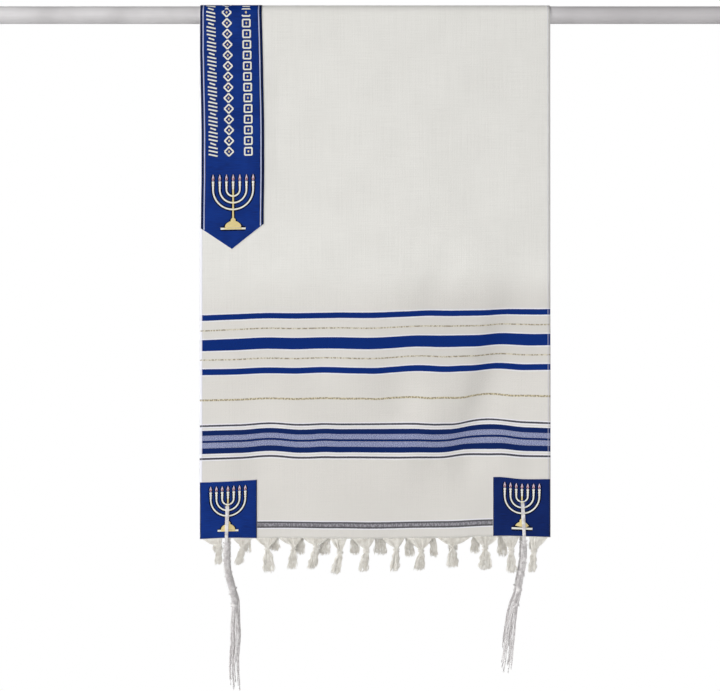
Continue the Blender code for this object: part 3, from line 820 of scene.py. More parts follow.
def stitch_motif(work, motif, across, along, downwards):
    """Stitches a lampstand whose flames' tips are at a flat place. Downwards is the sign of along there."""

    def lay(path, half_widths, thread, height=0.45):
        places = [(across + x * MM, along + downwards * y * MM) for x, y in path]
        widths = np.broadcast_to(np.asarray(half_widths, float), len(places))
        work.strip(places, widths * MM, height * MM, thread)

    def lay_with_shade(path, half_widths, thread):
        widths = np.broadcast_to(np.asarray(half_widths, float), len(path))
        lay(path, widths + 2.0, "shade", height=0.12)
        lay(path, widths, thread)

    def upright(x, top, height, outline, width, thread):
        path = [(x, top + height * down) for down, _ in outline]
        widths = [width * share for _, share in outline]
        lay_with_shade(path, widths, thread)

    cups_end = motif.flame + motif.cup
    for branch in range(3, 0, -1):
        radius = branch * motif.branch_gap
        turns = np.linspace(0, math.pi, 16 + 10 * branch)
        path = [(-radius * math.cos(turn), cups_end + radius * math.sin(turn)) for turn in turns]
        lay_with_shade(path, motif.line, "cream")
    stem = [(0, cups_end + y) for y in np.linspace(0, motif.stem_end - cups_end, 12)]
    lay_with_shade(stem, motif.line, "straw")
    for branch in range(-3, 4):
        x = branch * motif.branch_gap
        upright(x, motif.flame, motif.cup, CUP_OUTLINE, 1.9, "cream")
        upright(x, 0, motif.flame * 0.92, FLAME_OUTLINE, 2.1, "pale flame")
        heart = motif.flame * 0.5
        lay([(x, heart + motif.flame * y) for y in (0, 0.12, 0.28, 0.4)], (0.3, 1.4, 1.5, 0.4), "flame", 0.6)
    stitch_base(lay, lay_with_shade, motif)


def stitch_base(lay, lay_with_shade, motif):
    """The stepped foot of a lampstand: a small step, a dome and a bar with pale ends."""
    turns = np.linspace(0.16, math.pi / 2, 9)
    top = motif.stem_end
    lay_with_shade([(0, top - 1), (0, top + 1.2), (0, top + 4)], (2.4, 4.4, 4.6), "straw")
    dome_top = top + 3.4
    dome = [(0, dome_top + motif.dome * 0.72 * (1 - math.cos(turn))) for turn in turns]
    widths = [motif.dome * math.sin(turn) for turn in turns]
    lay_with_shade(dome, widths, "straw")
    bar = dome[-1][1] + 1.6
    lay_with_shade([(-motif.base, bar), (motif.base, bar)], 1.8, "cream")
    lay([(-motif.base * 0.7, bar), (motif.base * 0.7, bar)], 1.7, "straw", 0.6)


# Yarn and string


def curve_through(keys, count):
    """A smooth line of so many points through its keys."""
    keys = np.asarray(keys, float)
    padded = np.vstack((2 * keys[0] - keys[1], keys, 2 * keys[-1] - keys[-2]))
    places = np.linspace(0, len(keys) - 1, count)
    start = np.minimum(places.astype(int), len(keys) - 2)
    t = (places - start)[:, None]
    before, one, two, beyond = (padded[start + i] for i in range(4))
    curved = (2 * before - 5 * one + 4 * two - beyond) * t**2
    turned = (3 * one - before - 3 * two + beyond) * t**3
    return one + 0.5 * ((two - before) * t + curved + turned)


def directions_across(path):
    """Two directions across a path at each of its points, which turn with it as little as they can."""
    runs = np.gradient(path, axis=0)
    runs /= np.linalg.norm(runs, axis=1, keepdims=True)
    side = np.cross(runs[0], (0.1, 1.0, 0.3))
    sides = np.empty_like(path)
    for i, run in enumerate(runs):
        side = side - run * side.dot(run)
        side = side / np.linalg.norm(side)
        sides[i] = side
    return sides, np.cross(runs, sides)


class Strands:
    """Gathers round strands into one piece, whose map has the turn round a strand and its length in mm."""

    def __init__(self):
        self.points = []
        self.faces = []
        self.map = []
        self.count = 0

    def add(self, path, radii, sides=YARN_SIDES):
        path = np.asarray(path, float)
        radii = np.broadcast_to(np.asarray(radii, float), len(path))
        one, two = directions_across(path)
        turns = np.arange(sides) * 2 * math.pi / sides
        rings = (
            path[:, None]
            + one[:, None] * (np.cos(turns) * radii[:, None])[..., None]
            + two[:, None] * (np.sin(turns) * radii[:, None])[..., None]
        )
        distance = distance_along(path) / MM
        self.points.append(rings.reshape(-1, 3))
        for i in range(len(path) - 1):
            for k in range(sides):
                after = (k + 1) % sides
                low = self.count + i * sides
                high = low + sides
                self.faces.append((low + k, low + after, high + after, high + k))
                left, right = k / sides, (k + 1) / sides
                start, end = distance[i], distance[i + 1]
                self.map += [(left, start), (right, start), (right, end), (left, end)]
        last = self.count + (len(path) - 1) * sides
        self.faces.append(tuple(self.count + k for k in reversed(range(sides))))
        self.faces.append(tuple(last + k for k in range(sides)))
        self.map += [(0, distance[0])] * sides + [(0, distance[-1])] * sides
        self.count += len(path) * sides

    def add_twisted(self, path, radius, turn=0.0, sides=YARN_SIDES):
        """A string of two plies, twisted round each other along a path."""
        path = np.asarray(path, float)
        one, two = directions_across(path)
        for ply in range(2):
            angle = distance_along(path) / PLY_PITCH * 2 * math.pi + ply * math.pi + turn
            offset = one * np.cos(angle)[:, None] + two * np.sin(angle)[:, None]
            self.add(path + offset * radius * 0.46, radius * 0.6, sides)

    def make(self, name, material):
        mesh = bpy.data.meshes.new(name)
        mesh.from_pydata(np.concatenate(self.points).tolist(), [], self.faces)
        layer = mesh.uv_layers.new(name="strand")
        layer.uv.foreach_set("vector", np.asarray(self.map, np.float32).ravel())
        mesh.materials.append(material)
        mesh.shade_smooth()
        return add_object(name, mesh)


def tie(strands, middle, half_width, half_depth, radius, chance, turns=3):
    """The wraps of a knot: rings round a bundle, each tilted its own way."""
    angles = np.linspace(0, 2 * math.pi, 19)
    for i in range(turns):
        tilt = chance.uniform(-0.5, 0.5) + (0.45 if i % 2 else -0.35)
        lean = chance.uniform(-0.25, 0.25)
        x = np.cos(angles) * half_width
        y = np.sin(angles) * half_depth
        rise = x * math.tan(tilt) + y * lean + (i - (turns - 1) / 2) * radius * 1.5
        strands.add(middle + np.stack((x, y, rise), axis=-1), radius, 6)


def make_tassel(panel, number, tassel, yarn):
    """A fan of warp ends from the hem, tied in a knot, with the loose ends below it."""
    chance = random.Random(100 * number + (1 if panel is FRONT else 2))
    left, right = tassel.left * MM, tassel.right * MM
    hem = cloth_points((left + right) / 2, hem_at(panel))
    knot = np.array((tassel.knot * MM, hem[1], hem[2] - tassel.knot_drop * MM))
    tip = np.array((tassel.tip * MM, hem[1], hem[2] - tassel.tip_drop * MM))
    sideways = np.array((1.0, 0, 0))
    outwards = np.array((0, 1.0, 0))
    downwards = np.array((0, 0, -1.0))
    locks = [
        (chance.uniform(0, 6.28), chance.uniform(0.5, 1.3), chance.uniform(9, 15))
        for _ in range(LOCKS)
    ]
    strands = Strands()
    for i in range(TASSEL_STRANDS + FLYAWAYS):
        loose = i >= TASSEL_STRANDS
        share = chance.random() if loose else (i + 0.5) / TASSEL_STRANDS
        wide = share * 2 - 1
        deep = chance.uniform(-1, 1)
        start = cloth_points(left + (right - left) * share, hem_at(panel))
        start = start + outwards * deep * 0.3 * MM - downwards * 1.2 * MM
        in_knot = sideways * wide * KNOT_HALF_WIDTH * 0.72 + outwards * deep * KNOT_HALF_DEPTH * 0.6
        fan = start + (knot - start) * 0.5 + in_knot * 0.35
        fan = fan + downwards * (1 - abs(wide)) * 1.2 * MM + outwards * deep * 1.1 * MM
        wide_below = wide * 1.12 + chance.uniform(-0.3, 0.3)
        flare = sideways * wide_below * tassel.tail_half_width * MM + outwards * deep * TAIL_HALF_DEPTH
        phase, swing, wave = locks[int(share * LOCKS) % LOCKS]
        half_knot = downwards * KNOT_HEIGHT * 0.5
        keys = [start, fan, knot - half_knot + in_knot, knot + half_knot + in_knot]
        length = 1 - chance.uniform(0, 0.13) - 0.06 * wide * wide
        tail = tip - knot
        for step in TAIL_PLACES:
            place = step * length
            fall = (tassel.tip_drop - tassel.knot_drop) * place
            sway = math.sin(phase + fall / wave * 2 * math.pi) * swing * MM
            wander = 0.35 * MM * (3 if loose else 1)
            keys.append(
                knot
                + tail * place
                + flare * (0.55 + 0.45 * min(place * 1.3, 1))
                + sideways * (sway + chance.uniform(-wander, wander))
                + outwards * (sway * 0.5 + chance.uniform(-wander, wander))
            )
        path = curve_through(keys, YARN_STEPS)
        thick = YARN_RADIUS * (0.3 if loose else chance.uniform(0.85, 1.1))
        radii = np.full(YARN_STEPS, thick)
        radii[-1] *= 0.35
        radii[-2] *= 0.8
        strands.add(path, radii)
    tie(strands, knot, KNOT_HALF_WIDTH, KNOT_HALF_DEPTH, TIE_RADIUS, chance)
    place_name = f"{panel.name}_{number:02d}"
    return belongs(strands.make(f"fringe_{place_name}", yarn), "fringe_yarn", f"tassel_{place_name}")


def across_at(ways, drop):
    """How far across a tzitzit hangs at a drop, on a smooth curve through its places."""
    drops = [way.drop * MM for way in ways]
    slopes = np.gradient([way.across * MM for way in ways], drops)
    last = len(ways) - 2
    after = next((i for i in range(last) if drops[i + 1] > drop), last)
    one, two = ways[after].across * MM, ways[after + 1].across * MM
    run = drops[after + 1] - drops[after]
    share = (drop - drops[after]) / run
    square = share * share
    cube = square * share
    return (
        (2 * cube - 3 * square + 1) * one
        + (cube - 2 * square + share) * slopes[after] * run
        + (3 * square - 2 * cube) * two
        + (cube - square) * slopes[after + 1] * run
    )


def loop_keys(panel, side, ways, knot_z, hem):
    """The way of a tzitzit's strings: up outside the patch, through the eyelet and down behind the cloth."""
    along = hem_at(panel, EYELET_ABOVE_HEM)
    eyelet = cloth_points(side * EYELET_FROM_CENTRE, along)
    outer = SEWN_FACE + STRING_RADIUS * 1.25
    inner = -CLOTH_THICKNESS / 2 - STRING_RADIUS * 1.4
    middle = (outer + inner) / 2
    reach = (outer - inner) / 2
    bight = eyelet[2] - EYELET_RADIUS * 0.35

    def place(distance, z, spot):
        return np.array((across_at(ways, -z), spot[1] + panel.outward * distance, z))

    def beside_cloth(distance, share):
        z = hem[2] + (bight - hem[2]) * share
        return place(distance, z, cloth_points(across_at(ways, -z), along_at(panel, -z)))

    keys = [place(middle + 1.6 * MM, knot_z, hem), place(outer + 1 * MM, hem[2] - 4 * MM, hem)]
    keys += [beside_cloth(outer + 0.4 * MM, share) for share in (0.0, 0.33, 0.66)]
    for i in range(7):
        turn = math.pi * i / 6
        keys.append(place(middle + reach * math.cos(turn), bight + reach * math.sin(turn), eyelet))
    keys += [beside_cloth(inner - 0.4 * MM, share) for share in (0.66, 0.33, 0.0)]
    return keys + [place(inner - 1 * MM, hem[2] - 4 * MM, hem), place(middle - 1.6 * MM, knot_z, hem)]


def make_tzitzit(panel, side_name, side, ways, material):
    """Four strings looped through the eyelet, twisted between five knots, with their eight ends loose."""
    chance = random.Random(f"{panel.name} {side_name}")
    hem = cloth_points(side * EYELET_FROM_CENTRE, hem_at(panel))
    y = hem[1] + panel.outward * SEWN_THICKNESS / 2
    strands = Strands()

    def centre_at(z):
        return np.array((across_at(ways, -z), y, z))

    first_knot = hem[2] - STEM_KNOT_DROPS[0]
    last_knot = hem[2] - STEM_KNOT_DROPS[-1]
    near = cloth_points(side * EYELET_FROM_CENTRE + 3 * MM, hem_at(panel))
    sideways = (near - hem) * (1, 1, 0)
    sideways = sideways / np.linalg.norm(sideways)
    keys = loop_keys(panel, side, ways, first_knot, hem)
    for string, offset in enumerate(LOOP_OFFSETS):
        shares = np.sin(np.linspace(0, math.pi, len(keys)))
        squeeze = 0.62 + 0.38 * np.sin(np.linspace(0, 2 * math.pi, len(keys))) ** 2
        wobble = [chance.uniform(-0.2, 0.2) for _ in keys]
        path = [
            key + sideways * (offset * squeeze[i] + wobble[i] * shares[i]) * MM
            for i, key in enumerate(keys)
        ]
        strands.add_twisted(curve_through(path, LOOP_STEPS), STRING_RADIUS, turn=string)

    for string in range(STRING_ENDS):
        path = []
        for share in np.linspace(0, 1, STEM_STEPS + 1):
            z = first_knot + (last_knot - first_knot) * share
            turn = 2 * math.pi * (string / STRING_ENDS + (first_knot - z) / STEM_PITCH)
            nearest = min(abs(hem[2] - drop - z) for drop in STEM_KNOT_DROPS)
            radius = STEM_RADIUS * (1 - 0.18 * math.exp(-((nearest / (5 * MM)) ** 2)))
            around = np.array((math.cos(turn) * radius * 1.06, math.sin(turn) * radius, 0))
            path.append(centre_at(z) + around)
        strands.add_twisted(path, STRING_RADIUS, turn=string * 1.3)
    for drop in STEM_KNOT_DROPS:
        size = LAST_KNOT_SIZE if drop == STEM_KNOT_DROPS[-1] else 1.0
        half_width, half_depth = STEM_KNOT_HALF_WIDTH * size, STEM_KNOT_HALF_DEPTH * size
        tie(strands, centre_at(hem[2] - drop), half_width, half_depth, STEM_TIE_RADIUS, chance)

    shorter = (FRONT.drop - panel.drop) * MM
    end_z = shorter - ways[-1].drop * MM
    for string in range(STRING_ENDS):
        turn = 2 * math.pi * (string + 0.5) / STRING_ENDS
        offset = np.array((math.cos(turn) * BUNDLE_HALF_WIDTH, math.sin(turn) * BUNDLE_HALF_DEPTH, 0))
        length = last_knot - end_z - STRING_UNEVEN * ((string * 5) % STRING_ENDS)
        drift = np.array((chance.uniform(-1.6, 1.6), chance.uniform(-1, 1), 0)) * MM
        keys = []
        for i in range(8):
            share = i / 7
            opened = math.sin(min(share * 2.2, 1) * math.pi / 2)
            spread = 0.7 + (STRING_SPREAD - 0.7 + STRING_FLARE) * opened
            sway = np.array((chance.uniform(-0.7, 0.7), chance.uniform(-0.7, 0.7), 0)) * MM
            keys.append(centre_at(last_knot - length * share) + offset * spread + drift * share + sway)
        path = curve_through(keys, END_STEPS)
        strands.add_twisted(path[:-6], STRING_RADIUS, turn=string * 0.9)
        fray(strands, path[-10:], chance)
    place_name = f"{panel.name}_{side_name}"
    return belongs(strands.make(f"strings_{place_name}", material), "white_string", f"tzitzit_{place_name}")


def fray(strands, path, chance):
    """The untwisted end of a string: thin filaments that part from each other."""
    shares = np.linspace(0, 1, len(path))[:, None]
    for _ in range(FRAY_FILAMENTS):
        sideways = (chance.uniform(-1.3, 1.3), chance.uniform(-1.3, 1.3))
        apart = np.array((*sideways, chance.uniform(-2, 1.5))) * MM
        radii = np.linspace(0.34, 0.14, len(path)) * MM
        strands.add(path + apart * shares**1.5, radii, 4)


# Materials


class Graph:
    """A material's nodes, added one at a time. An input takes another node's output or a plain value."""

    def __init__(self, name, roughness, specular=0.5, metallic=0.0, sheen=0.0):
        self.material = bpy.data.materials.new(name)
        self.material.use_nodes = True
        self.tree = self.material.node_tree
        self.shader = self.tree.nodes["Principled BSDF"]
        self.shader.inputs["Roughness"].default_value = roughness
        self.shader.inputs["Specular IOR Level"].default_value = specular
        self.shader.inputs["Metallic"].default_value = metallic
        self.shader.inputs["Sheen Weight"].default_value = sheen

    def feed(self, socket, value):
        if isinstance(value, bpy.types.NodeSocket):
            self.tree.links.new(value, socket)
        else:
            socket.default_value = value

    def add(self, kind, values, **settings):
        node = self.tree.nodes.new(kind)
        for name, value in settings.items():
            setattr(node, name, value)
        for key, value in values.items():
            self.feed(node.inputs[key], value)
        return node

    def maths(self, operation, *values):
        return self.add("ShaderNodeMath", dict(enumerate(values)), operation=operation).outputs[0]

    def times(self, one, two):
        return self.maths("MULTIPLY", one, two)

    def plus(self, one, two):
        return self.maths("ADD", one, two)

    def apart(self, one, two):
        """How far two values lie from each other."""
        return self.maths("ABSOLUTE", self.maths("SUBTRACT", one, two))

    def remap(self, value, low, high, to_low=0.0, to_high=1.0):
        values = {"Value": value, "From Min": low, "From Max": high, "To Min": to_low, "To Max": to_high}
        node = self.add("ShaderNodeMapRange", values, interpolation_type="SMOOTHSTEP")
        return node.outputs["Result"]

    def mix(self, share, first, second):
        values = {0: share, 6: as_colour(first), 7: as_colour(second)}
        return self.add("ShaderNodeMix", values, data_type="RGBA").outputs[2]

    def attribute(self, name):
        """The x, y and z of a stored vector."""
        stored = self.add("ShaderNodeAttribute", {}, attribute_name=name).outputs["Vector"]
        return self.add("ShaderNodeSeparateXYZ", {0: stored}).outputs

    def vector(self, x=0.0, y=0.0, z=0.0):
        return self.add("ShaderNodeCombineXYZ", {0: x, 1: y, 2: z}).outputs[0]

    def noise(self, vector, scale, detail=2.0):
        values = {"Vector": vector, "Scale": scale, "Detail": detail}
        return self.add("ShaderNodeTexNoise", values).outputs["Fac"]

    def bump(self, height, distance, strength=1.0, normal=None):
        values = {"Height": height, "Distance": distance, "Strength": strength}
        if normal:
            values["Normal"] = normal
        return self.add("ShaderNodeBump", values).outputs[0]

    def finish(self, colour, normal=None, roughness=None):
        self.feed(self.shader.inputs["Base Color"], colour)
        if normal:
            self.feed(self.shader.inputs["Normal"], normal)
        if roughness:
            self.feed(self.shader.inputs["Roughness"], roughness)
        return self.material


def as_colour(value):
    return (*value, 1) if isinstance(value, tuple) else value


def plain_weave(graph, across, along, pitch):
    """The height of a plain weave, from 0 to 1, where warp and weft take turns on top."""
    warp = graph.maths("SINE", graph.times(across, math.pi / pitch))
    weft = graph.maths("SINE", graph.times(along, math.pi / pitch))
    over = graph.maths("GREATER_THAN", graph.times(warp, weft), 0.0)
    warp_height, weft_height = (graph.maths("ABSOLUTE", wave) for wave in (warp, weft))
    lower = graph.times(graph.maths("MINIMUM", warp_height, weft_height), 0.45)
    chosen = graph.plus(graph.times(over, warp_height), lower)
    other = graph.times(graph.maths("SUBTRACT", 1.0, over), weft_height)
    return graph.plus(chosen, other)


def stripe_mask(graph, height, stripes, grow=0.0, soft=0.35):
    """1 inside any of the stripes and 0 outside them, with slightly soft edges."""
    mask = None
    for stripe in stripes:
        away = graph.apart(height, stripe.height)
        half = stripe.width / 2 + grow
        inside = graph.remap(away, half - soft, half + soft, 1.0, 0.0)
        mask = graph.maths("MAXIMUM", mask, inside) if mask else inside
    return mask


def make_striped_weave():
    """Ivory cotton in plain weave, with its woven stripes and white selvage."""
    graph = Graph("striped_ivory_weave", roughness=0.9, specular=0.06, sheen=0.02)
    across, height, along = graph.attribute("flat")
    cloudy = graph.noise(graph.vector(across, along), 0.012, 2.0)
    slub_weft = graph.noise(graph.vector(graph.times(across, 0.03), along), 0.8, 2.0)
    slub_warp = graph.noise(graph.vector(across, graph.times(along, 0.02)), 0.55, 2.0)
    threads = graph.plus(slub_weft, slub_warp)
    colour = graph.mix(graph.remap(cloudy, 0.35, 0.65), IVORY, IVORY_CLOUDED)
    # Painted shade: the lower cloth is darker towards the hem
    colour = graph.mix(graph.remap(height, *PAINTED_LOW_SHADE_HEIGHTS, 0.9, 0.0), colour, IVORY_PAINTED_LOW_SHADE)
    # Painted shade: a band round the stripes grows darker towards the right
    low_middle = graph.apart(height, PAINTED_BAND_SHADE_HEIGHT)
    near_middle = graph.remap(low_middle, 25.0, 100.0, 1.0, 0.0)
    painted_band_shade = graph.times(near_middle, graph.remap(across, -50.0, 130.0, 0.0, 0.75))
    colour = graph.mix(painted_band_shade, colour, IVORY_PAINTED_BAND_SHADE)
    colour = graph.mix(graph.remap(threads, 0.85, 1.3, 0.0, 0.2), colour, SLUB_SHADE)
    speck = graph.noise(graph.vector(across, graph.times(along, 1.6)), 0.85, 1.0)
    dashes = graph.noise(graph.vector(across, graph.times(along, 0.5)), 0.42, 1.0)
    frayed = graph.times(graph.maths("SUBTRACT", speck, 0.5), 0.9)
    wavy = graph.plus(height, frayed)

    def stripes_of(*yarns):
        return [stripe for stripe in STRIPES if stripe.yarn in yarns]

    pale_edge = stripe_mask(graph, wavy, stripes_of("blue", "grey", HEM_STRIPE), grow=1.7, soft=0.7)
    colour = graph.mix(graph.times(pale_edge, 0.75), colour, EDGE_WHITE)
    wide_edge = stripe_mask(graph, wavy, [NAVY_AND_HEATHER], grow=1.7, soft=0.7)
    colour = graph.mix(graph.times(wide_edge, 0.75), colour, EDGE_WHITE)
    blue = graph.mix(graph.remap(speck, 0.4, 0.62), BLUE_DEEP, BLUE)
    colour = graph.mix(stripe_mask(graph, wavy, stripes_of("blue")), colour, blue)
    heather = graph.mix(graph.remap(speck, 0.38, 0.62), HEATHER_DARK, HEATHER_LIGHT)
    colour = graph.mix(stripe_mask(graph, wavy, stripes_of("heather")), colour, heather)
    colour = graph.mix(stripe_mask(graph, wavy, stripes_of("navy")), colour, NAVY_STRIPE)
    colour = graph.mix(graph.remap(across, *LEFT_SELVAGE, 0.9, 0.0), colour, EDGE_WHITE)
    colour = graph.mix(stripe_mask(graph, wavy, stripes_of("grey")), colour, GREY_THREAD)
    gold = graph.mix(graph.remap(dashes, 0.4, 0.62), GOLD_DARK, GOLD_LIGHT)
    gold_mask = stripe_mask(graph, wavy, stripes_of("gold"), soft=0.6)
    colour = graph.mix(graph.times(gold_mask, 0.9), colour, gold)
    fine_mask = stripe_mask(graph, wavy, stripes_of("fine gold"), soft=0.6)
    fine_share = graph.times(fine_mask, graph.remap(dashes, 0.35, 0.7, 0.85, 0.5))
    colour = graph.mix(fine_share, colour, gold)
    hem = stripes_of(HEM_STRIPE)
    colour = graph.mix(stripe_mask(graph, wavy, hem), colour, SLATE_DARK)
    middle = stripe_mask(graph, wavy, hem, grow=-2.6, soft=1.2)
    pale_middle = graph.times(middle, graph.remap(dashes, 0.42, 0.6, 0.4, 0.95))
    colour = graph.mix(pale_middle, colour, SLATE_LIGHT)

    from_centre = graph.maths("ABSOLUTE", across)
    from_line = graph.apart(from_centre, SELVAGE_LINE)
    colour = graph.mix(graph.remap(from_line, 0.35, 0.75, 0.5, 0.0), colour, SELVAGE_THREAD)
    colour = graph.mix(graph.remap(from_centre, *OUTERMOST_THREADS, 0.0, 0.6), colour, EDGE_WHITE)

    ribs = graph.bump(plain_weave(graph, across, along, 0.85), 0.00012, 0.55)
    normal = graph.bump(threads, 0.0006, 0.35, ribs)
    return graph.finish(colour, normal)


def make_satin(name, border, painted_shade_right=0.0):
    """Blue satin ribbon with fine ribs across it, a dark border and a pale edge."""
    graph = Graph(name, roughness=0.55, specular=0.05)
    across, _, along = graph.attribute("flat")
    to_side, to_end, _ = graph.attribute("edge")
    floats = graph.noise(graph.vector(graph.times(across, 0.06), along), 1.1, 2.0)
    cloudy = graph.noise(graph.vector(across, along), 0.03, 2.0)
    colour = graph.mix(graph.remap(floats, 0.35, 0.65), BLUE_DEEP, BLUE)
    colour = graph.mix(graph.remap(cloudy, 0.35, 0.7, 0.0, 0.5), colour, SATIN_SHEEN)
    # Painted shade: the satin darkens towards the right, by the given share
    colour = graph.mix(graph.remap(across, -150.0, 150.0, 0.0, painted_shade_right), colour, NAVY)
    colour = graph.mix(graph.remap(to_side, border - 0.4, border + 0.4, 0.92, 0.0), colour, NAVY)
    nearest = graph.maths("MINIMUM", to_side, to_end)
    colour = graph.mix(graph.remap(nearest, 0.3, 0.55, 0.8, 0.0), colour, EDGE_WHITE)
    ribs = graph.bump(plain_weave(graph, across, along, 0.7), 0.0001, 0.5)
    normal = graph.bump(floats, 0.0004, 0.3, ribs)
    return graph.finish(colour, normal)


def make_thread(name, light, dark, roughness=0.6, metallic=0.0, specular=0.3):
    """Shiny embroidery thread, whose stitches lie side by side across a strip."""
    graph = Graph(name, roughness=roughness, specular=specular, metallic=metallic)
    share, length, _ = graph.attribute("stitch")
    lean = graph.plus(length, graph.times(share, 0.35))
    ridge = graph.maths("ABSOLUTE", graph.maths("SINE", graph.times(lean, math.pi / 0.5)))
    uneven = graph.noise(graph.vector(share, length), 1.2, 2.0)
    # Painted shade: each stitch is lighter on its crown and darker in the groove beside it
    colour = graph.mix(graph.remap(ridge, 0.1, 0.8), dark, light)
    colour = graph.mix(graph.remap(uneven, 0.4, 0.75, 0.0, 0.35), colour, dark)
    return graph.finish(colour, graph.bump(ridge, 0.00015, 0.7))


def make_yarn(name, light, dark, twist, roughness=0.9):
    """Cotton yarn, with its twist running round each strand and a little unevenness in its colour."""
    graph = Graph(name, roughness=roughness, specular=0.15, sheen=0.15)
    strand = graph.add("ShaderNodeUVMap", {}, uv_map="strand").outputs[0]
    turn, length, _ = graph.add("ShaderNodeSeparateXYZ", {0: strand}).outputs
    place = graph.plus(graph.times(turn, 2.0), graph.maths("DIVIDE", length, twist))
    ridge = graph.maths("SINE", graph.times(place, 2 * math.pi))
    where = graph.add("ShaderNodeNewGeometry", {}).outputs["Position"]
    patchy = graph.noise(where, 160.0, 3.0)
    colour = graph.mix(graph.remap(patchy, 0.3, 0.7), light, dark)
    # Painted shade: the grooves of the twist are darker
    colour = graph.mix(graph.remap(ridge, -1.0, 1.0, 0.3, 0.0), colour, dark)
    return graph.finish(colour, graph.bump(ridge, 0.00012, 0.8))


def make_rod_paint():
    """Pale satin paint on a drawn metal tube, with faint draw marks along it."""
    graph = Graph("rod_satin_paint", roughness=0.45, specular=0.12)
    where = graph.add("ShaderNodeNewGeometry", {}).outputs["Position"]
    x, y, z = graph.add("ShaderNodeSeparateXYZ", {0: where}).outputs
    drawn = graph.noise(graph.vector(graph.times(x, 0.02), y, z), 900.0, 2.0)
    cloudy = graph.noise(where, 9.0, 3.0)
    colour = graph.mix(graph.remap(cloudy, 0.35, 0.7), ROD_GREY, ROD_GREY_DARK)
    colour = graph.mix(graph.remap(drawn, 0.4, 0.7, 0.0, 0.25), colour, ROD_GREY_DARK)
    # Painted shade: the paint grows darker towards the rod's right end
    colour = graph.mix(graph.remap(x, 0.0, 0.5, 0.0, 0.6), colour, ROD_GREY_PAINTED_SHADE)
    roughness = graph.remap(cloudy, 0.3, 0.7, 0.36, 0.52)
    return graph.finish(colour, graph.bump(drawn, 0.0001, 0.4), roughness)


# The pieces


def belongs(piece, slot, *nodes):
    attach(piece, "root")
    if nodes:
        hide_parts(*nodes)
    return piece


def make_rod(material):
    bm = bmesh.new()
    bmesh.ops.create_cone(
        bm,
        cap_ends=True,
        segments=ROD_SIDES,
        radius1=ROD_RADIUS,
        radius2=ROD_RADIUS,
        depth=ROD_LENGTH,
    )
    ends = {edge for face in bm.faces if len(face.edges) == ROD_SIDES for edge in face.edges}
    bmesh.ops.bevel(bm, geom=list(ends), offset=ROD_EDGE, segments=3, affect="EDGES")
    upright_to_level = Vector((0, 0, 1)).rotation_difference(Vector((1, 0, 0)))
    bmesh.ops.rotate(bm, verts=bm.verts[:], matrix=upright_to_level.to_matrix())
    mesh = mesh_of("garment_rod", bm)
    mesh.materials.append(material)
    mesh.shade_smooth()
    mesh.set_sharp_from_angle(angle=math.radians(40))
    return belongs(add_object("garment_rod", mesh), "rod_paint", "rod")


def band_line(offset_from_side, side):
    """The flat places of a line along the whole neckband, so far in from one of its sides."""
    places = []
    slope = point_slope()
    margin = BAND_LINE_MARGIN / math.cos(slope)

    def across_of(hang):
        if side < 0:
            return float(band_left(hang)) + offset_from_side
        return float(band_right(hang)) - offset_from_side

    across = across_of(BAND_SHOULDER_DROP)
    start = along_at(BACK, band_end(across, False) - margin)
    end = along_at(FRONT, band_end(across) - margin)
    for along in np.linspace(start, end, round((end - start) / BAND_LINE_STEP)):
        places.append((across_of(max(abs(along) - WRAP_LENGTH, 0)), along))
    return places


def make_band_needlework(threads):
    """The silver lines down the neckband, the rows of ornament, and a lampstand at each end."""
    work = Needlework(threads)
    for side in (-1, 1):
        line = band_line(BAND_LINE_INSET, side)
        work.strip(line, GROUND_HALF_WIDTH, GROUND_HEIGHT, "shade")
        work.strip(line, SILVER_HALF_WIDTH, SILVER_HEIGHT, "silver")
    tips = {FRONT: BAND_MOTIF_TIP, BACK: BAND_MOTIF_TIP - BAND_SHORTER_BEHIND}
    for panel, tip in tips.items():
        stitch_motif(work, BAND_MOTIF, BAND_MOTIF_ACROSS, along_at(panel, tip), -panel.outward)
    back_end = along_at(BACK, tips[BACK] - ORNAMENT_ABOVE_MOTIF)
    front_end = along_at(FRONT, tips[FRONT] - ORNAMENT_ABOVE_MOTIF)
    stitch_ornament(work, back_end, front_end)
    return belongs(work.hang("neckband_embroidery", SEWN_FACE), "white_string")


def stitch_ornament(work, start, end):
    """Three rows of plain geometric ornament over the rod: leaning dashes, lozenges and squares."""
    for i, along in enumerate(spaced(start, end, DASH_PITCH)):
        half = DASH_HALF if i % 4 else SHORT_DASH_HALF
        middle = band_middle(abs(along) - WRAP_LENGTH) + ORNAMENT_ROWS["dash"]
        dash = [(middle - half, along - DASH_LEAN), (middle, along), (middle + half, along + DASH_LEAN)]
        work.strip(dash, DASH_GROUND_HALF_WIDTH, GROUND_HEIGHT, "shade")
        work.strip(dash, ORNAMENT_HALF_WIDTH, ORNAMENT_HEIGHT, "cream")
    for along in spaced(start, end, SHAPE_PITCH):
        middle = band_middle(abs(along) - WRAP_LENGTH)
        stitch_outline(work, LOZENGE, middle + ORNAMENT_ROWS["lozenge"], along, LOZENGE_HALF)
        stitch_outline(work, SQUARE, middle + ORNAMENT_ROWS["square"], along, SQUARE_HALF)


def spaced(start, end, pitch):
    """The middles of equal steps from start to end, each about a pitch long."""
    count = round((end - start) / pitch)
    return [start + (end - start) * (i + 0.5) / count for i in range(count)]


def stitch_outline(work, corners, across, along, half):
    """A shape's outline in cream thread on a dark ground, with a straw seed in its middle."""
    places = [(across + x * half, along + y * half) for x, y in corners]
    ground = (GROUND_HALF_WIDTH, GROUND_HEIGHT, "shade")
    outline = (ORNAMENT_HALF_WIDTH, ORNAMENT_HEIGHT, "cream")
    for layer in (ground, outline):
        for pair in zip(places, places[1:]):
            work.strip(pair, *layer)
    seed = [(across, along - SEED_HALF_LENGTH), (across, along), (across, along + SEED_HALF_LENGTH)]
    work.strip(seed, SEED_HALF_WIDTHS, ORNAMENT_HEIGHT, "straw")


